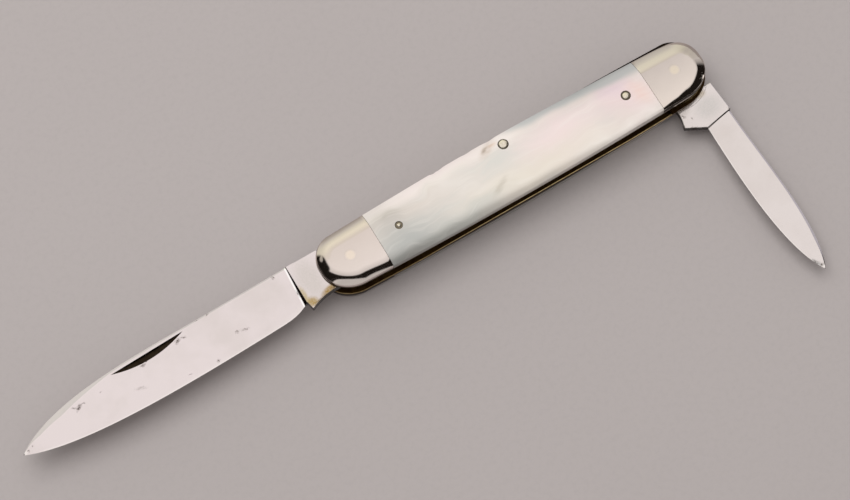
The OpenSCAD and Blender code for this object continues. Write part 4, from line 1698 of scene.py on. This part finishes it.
    def light(self) -> None:
        """Light the knife with a wide soft panel overhead and a weak sky."""
        scene = bpy.context.scene
        scene.world = bpy.data.worlds.new("studio")
        scene.world.use_nodes = True
        nodes = Nodes(scene.world.node_tree)
        add = nodes.add
        way = add("TexCoord", out=0)
        mirrored, mirror_level = self.mirrored(nodes, way)
        level = add("MapRange", add("SeparateXYZ", way, out=1), -0.9, 0.7, *self.sky_level)
        glossy = add("LightPath", out=None).outputs["Is Glossy Ray"]
        level = add("Mix:FLOAT", sockets={0: glossy, 2: level, 3: mirror_level})
        colour = add("Mix:RGBA", sockets={0: glossy, 6: self.sky_light, 7: mirrored}, out=2)
        add("OutputWorld", add("Background", colour, level))
        lamp = bpy.data.lights.new("panel", "AREA")
        lamp.shape, lamp.size = "SQUARE", self.lamp_side
        lamp.energy = self.lamp_level * math.pi * self.lamp_side**2
        panel = bpy.data.objects.new("panel", lamp)
        panel.location = self.lamp_place
        panel.rotation_euler = (math.radians(self.lamp_lean), 0, 0)
        panel.visible_glossy = False
        scene.collection.objects.link(panel)
        scene.view_settings.view_transform = "Standard"

    def build(self) -> None:
        """Set up the camera, the table and the light."""
        self.camera()
        self.floor()
        self.light()


# The knife's finishes. An oval is its X, Y, half length and half width in millimetres and its
# turn in degrees, measured from the blade's pivot, or on a scale from the handle's middle.


NICKEL = {
    End.PEN: BolsterNickel(
        "polished_nickel_silver", "#d8cdc5", "#c1b7b1", edge_dull=0.3, climb=(1.38, 0.85)
    ),
    End.MAIN: BolsterNickel("polished_nickel_silver_main", "#dbd0ca", "#cfc3bc", disc="#e9dac8"),
}
SPRING_STEEL = PlainMetal(
    "worn_spring_steel", "#28221d", "#16110d", roughness=0.4, cover=0.9, cloud_mm=1.5
)
NICK_TARNISH = PlainMetal(
    "tarnished_nick", "#2f261e", "#1d1712", roughness=0.4, cover=0.8, cloud_mm=1.0
)
MAIN_STEEL = BladeSteel(
    name="main_blade_steel",
    end=End.MAIN,
    plunge_glint=0.7,
    edge_glint=0.55,
    marks=(
        (1.0, (56.6, 1.2, 1.15, 0.42, -35)),
        (0.85, (57.4, 1.5, 0.8, 0.25, 40)),
        (0.9, (55.6, 1.5, 0.6, 0.2, 20)),
        (0.8, (51.9, 1.7, 0.32, 0.24, 0)),
        (1.0, (42.8, 2.1, 0.8, 0.34, 10)),
        (0.8, (42.0, 2.4, 0.5, 0.22, -20)),
        (1.0, (35.2, 2.8, 0.9, 0.48, -30)),
        (0.8, (33.9, 2.9, 0.8, 0.3, 20)),
        (0.2, (45.2, -1.4, 1.6, 0.5, 20)),
        (0.85, (14.2, 4.3, 0.6, 0.32, 60)),
        (0.75, (30.2, 4.45, 0.6, 0.2, 0)),
        (0.7, (28.0, 4.35, 0.6, 0.2, 0)),
        (0.9, (24.9, -1.2, 0.5, 0.4, 0)),
        (0.6, (23.4, -1.5, 1.1, 0.42, 10)),
        (0.85, (30.5, -4.1, 0.5, 0.34, 0)),
        (0.3, (36.2, -3.7, 0.6, 0.25, 0)),
        (0.85, (68.3, -1.1, 0.34, 0.26, 0)),
        (0.8, (67.3, -0.7, 0.3, 0.2, 0)),
        (0.8, (11.6, -0.6, 0.3, 1.3, 0)),
    ),
    stains=(
        ("#c2bbb5", 0.7, (8.5, 0.6, 4.0, 6.5, 0)),
        ("#a58a4c", 1.0, (10.2, -3.5, 1.9, 1.4, 30)),
        ("#b3a06e", 0.8, (10.9, -1.6, 0.8, 2.6, 0)),
        ("#97793a", 1.0, (6.2, -3.0, 3.0, 1.0, -15)),
        ("#5a4724", 0.9, (5.0, -3.3, 1.6, 0.8, 0)),
        ("#5e4a26", 0.85, (8.3, -3.9, 2.6, 0.5, -10)),
    ),
)
PEN_STEEL = BladeSteel(
    name="pen_blade_steel",
    end=End.PEN,
    fold=PEN_FOLD,
    tone="#d6cecc",
    edge_glint=0.45,
    rings=(6.25, 6.6),
    marks=(
        (1.0, (44.3, 0.7, 1.1, 0.6, 30)),
        (0.9, (42.7, -0.3, 1.4, 0.42, 30)),
        (0.7, (40.6, -1.0, 1.1, 0.3, 20)),
        (0.8, (45.4, 1.5, 0.6, 0.6, 0)),
        (0.6, (38.4, -1.5, 0.9, 0.24, 20)),
        (0.85, (9.3, -3.85, 0.9, 0.28, -10)),
        (0.8, (7.6, -3.75, 1.2, 0.3, -5)),
        (0.8, (10.4, -2.4, 1.3, 0.3, 62)),
        (0.75, (11.4, -0.9, 0.9, 0.25, 70)),
        (0.5, (7.4, -2.7, 0.8, 0.3, 20)),
        (0.35, (8.7, -1.5, 0.5, 0.2, 0)),
        (0.7, (10.9, 5.35, 0.4, 0.2, 0)),
    ),
    stains=(
        ("#a89878", 0.7, (5.6, 2.6, 1.0, 1.6, 0)),
        ("#b3aca7", 0.6, (6.6, -2.2, 1.6, 2.0, 0)),
        ("#b9b6b3", 0.6, (8.4, 2.4, 3.4, 4.2, 0)),
        ("#8e9496", 0.7, (44.4, 0.3, 2.4, 1.1, 35)),
        ("#8b7f72", 0.6, (6.2, -3.4, 1.2, 0.8, 0)),
    ),
)
NEAR_PEARL = MotherOfPearl(
    "mother_of_pearl",
    clouds=(
        ("#f3dfdc", 0.95, (10, 0.8, 15, 9, 0)),
        ("#ecd5d4", 0.9, (25, 0.4, 12, 9, 0)),
        ("#e9dfcf", 0.75, (2, -3.6, 26, 5.5, 0)),
        ("#ddd2c8", 0.8, (-22, 1.8, 13, 4, 0)),
        ("#c6bdb2", 0.7, (-26, 2.4, 5, 1.8, 0)),
        ("#a39e96", 0.4, (-27, 1.0, 7, 9, 0)),
        ("#b5b5b0", 1.0, (-25.5, -3.6, 16, 6.2, 5)),
        ("#c2c3bc", 0.8, (-14, -4.8, 13, 3.4, 5)),
        ("#eee1dd", 0.9, (-14, 5.4, 24, 3.2, 0)),
        ("#f0cfc2", 0.6, (28.0, -0.5, 3.5, 4.2, 0)),
        ("#e6cfd8", 0.6, (24, 3.0, 6, 3, 0)),
    ),
    flaws=(
        ("#b39a82", 0.6, (-3.1, 4.7, 3.2, 1.4, 30)),
        ("#85725f", 0.6, (-3.7, 4.7, 1.3, 0.6, 35)),
        ("#d8b59b", 0.5, (-1.7, 4.9, 1.5, 0.8, 15)),
        ("#a39884", 0.45, (-4.8, -2.9, 3.6, 1.0, 30)),
    ),
)
FAR_PEARL = MotherOfPearl(
    "mother_of_pearl_far",
    dirt_and_shade_z=(0.9, 1.8),
    clouds=(
        ("#ecdcd9", 0.8, (-12, 0.0, 15, 7, 0)),
        ("#b4bbb5", 0.8, (16, 2.0, 12, 4.5, -10)),
        ("#e9dfd0", 0.7, (24, -3.0, 12, 4.5, 0)),
    ),
)


def main() -> None:
    """Build and dress the knife in order."""
    logging.basicConfig(level=logging.INFO, format="%(message)s", stream=sys.stdout)
    Studio().build()
    nickel = {end: finish.build() for end, finish in NICKEL.items()}
    pin_nickel = PinMetal("domed_pin_nickel").build()
    pale_pin_nickel = PinMetal("domed_pin_nickel_main", dirt="#857a68").build()
    # The near liner and the centre liner take a copy of the brass whose edges are painted dark
    # brown as painted shade
    shaded_brass = LinerBrass("shaded_liner_brass", edge="#54401f").build()
    rubbed_brass = LinerBrass("rubbed_liner_brass").build()
    spring_steel, nick_tarnish = SPRING_STEEL.build(), NICK_TARNISH.build()
    main_steel, pen_steel = MAIN_STEEL.build(), PEN_STEEL.build()
    pearl = {Face.FRONT: NEAR_PEARL.build(), Face.BACK: FAR_PEARL.build()}

    handle = Handle()
    for face in Face:
        handle.scale(face, pearl[face])
        for end in End:
            handle.bolster(face, end, nickel[end])
    handle.pins(pin_nickel, pale_pin_nickel, nickel)
    handle.liners({Face.FRONT: shaded_brass, Face.BACK: rubbed_brass})
    handle.springs(spring_steel)
    handle.dress_centre(shaded_brass)
    main_blade().build(main_steel, nick_tarnish)
    pen_blade().build(pen_steel, nick_tarnish)

    sizes = {"cad": CAD_BOX, "visual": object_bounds()}
    {k: [[float(c) for c in corner] for corner in v] for k, v in sizes.items()}


if __name__ == "__main__":
    main()
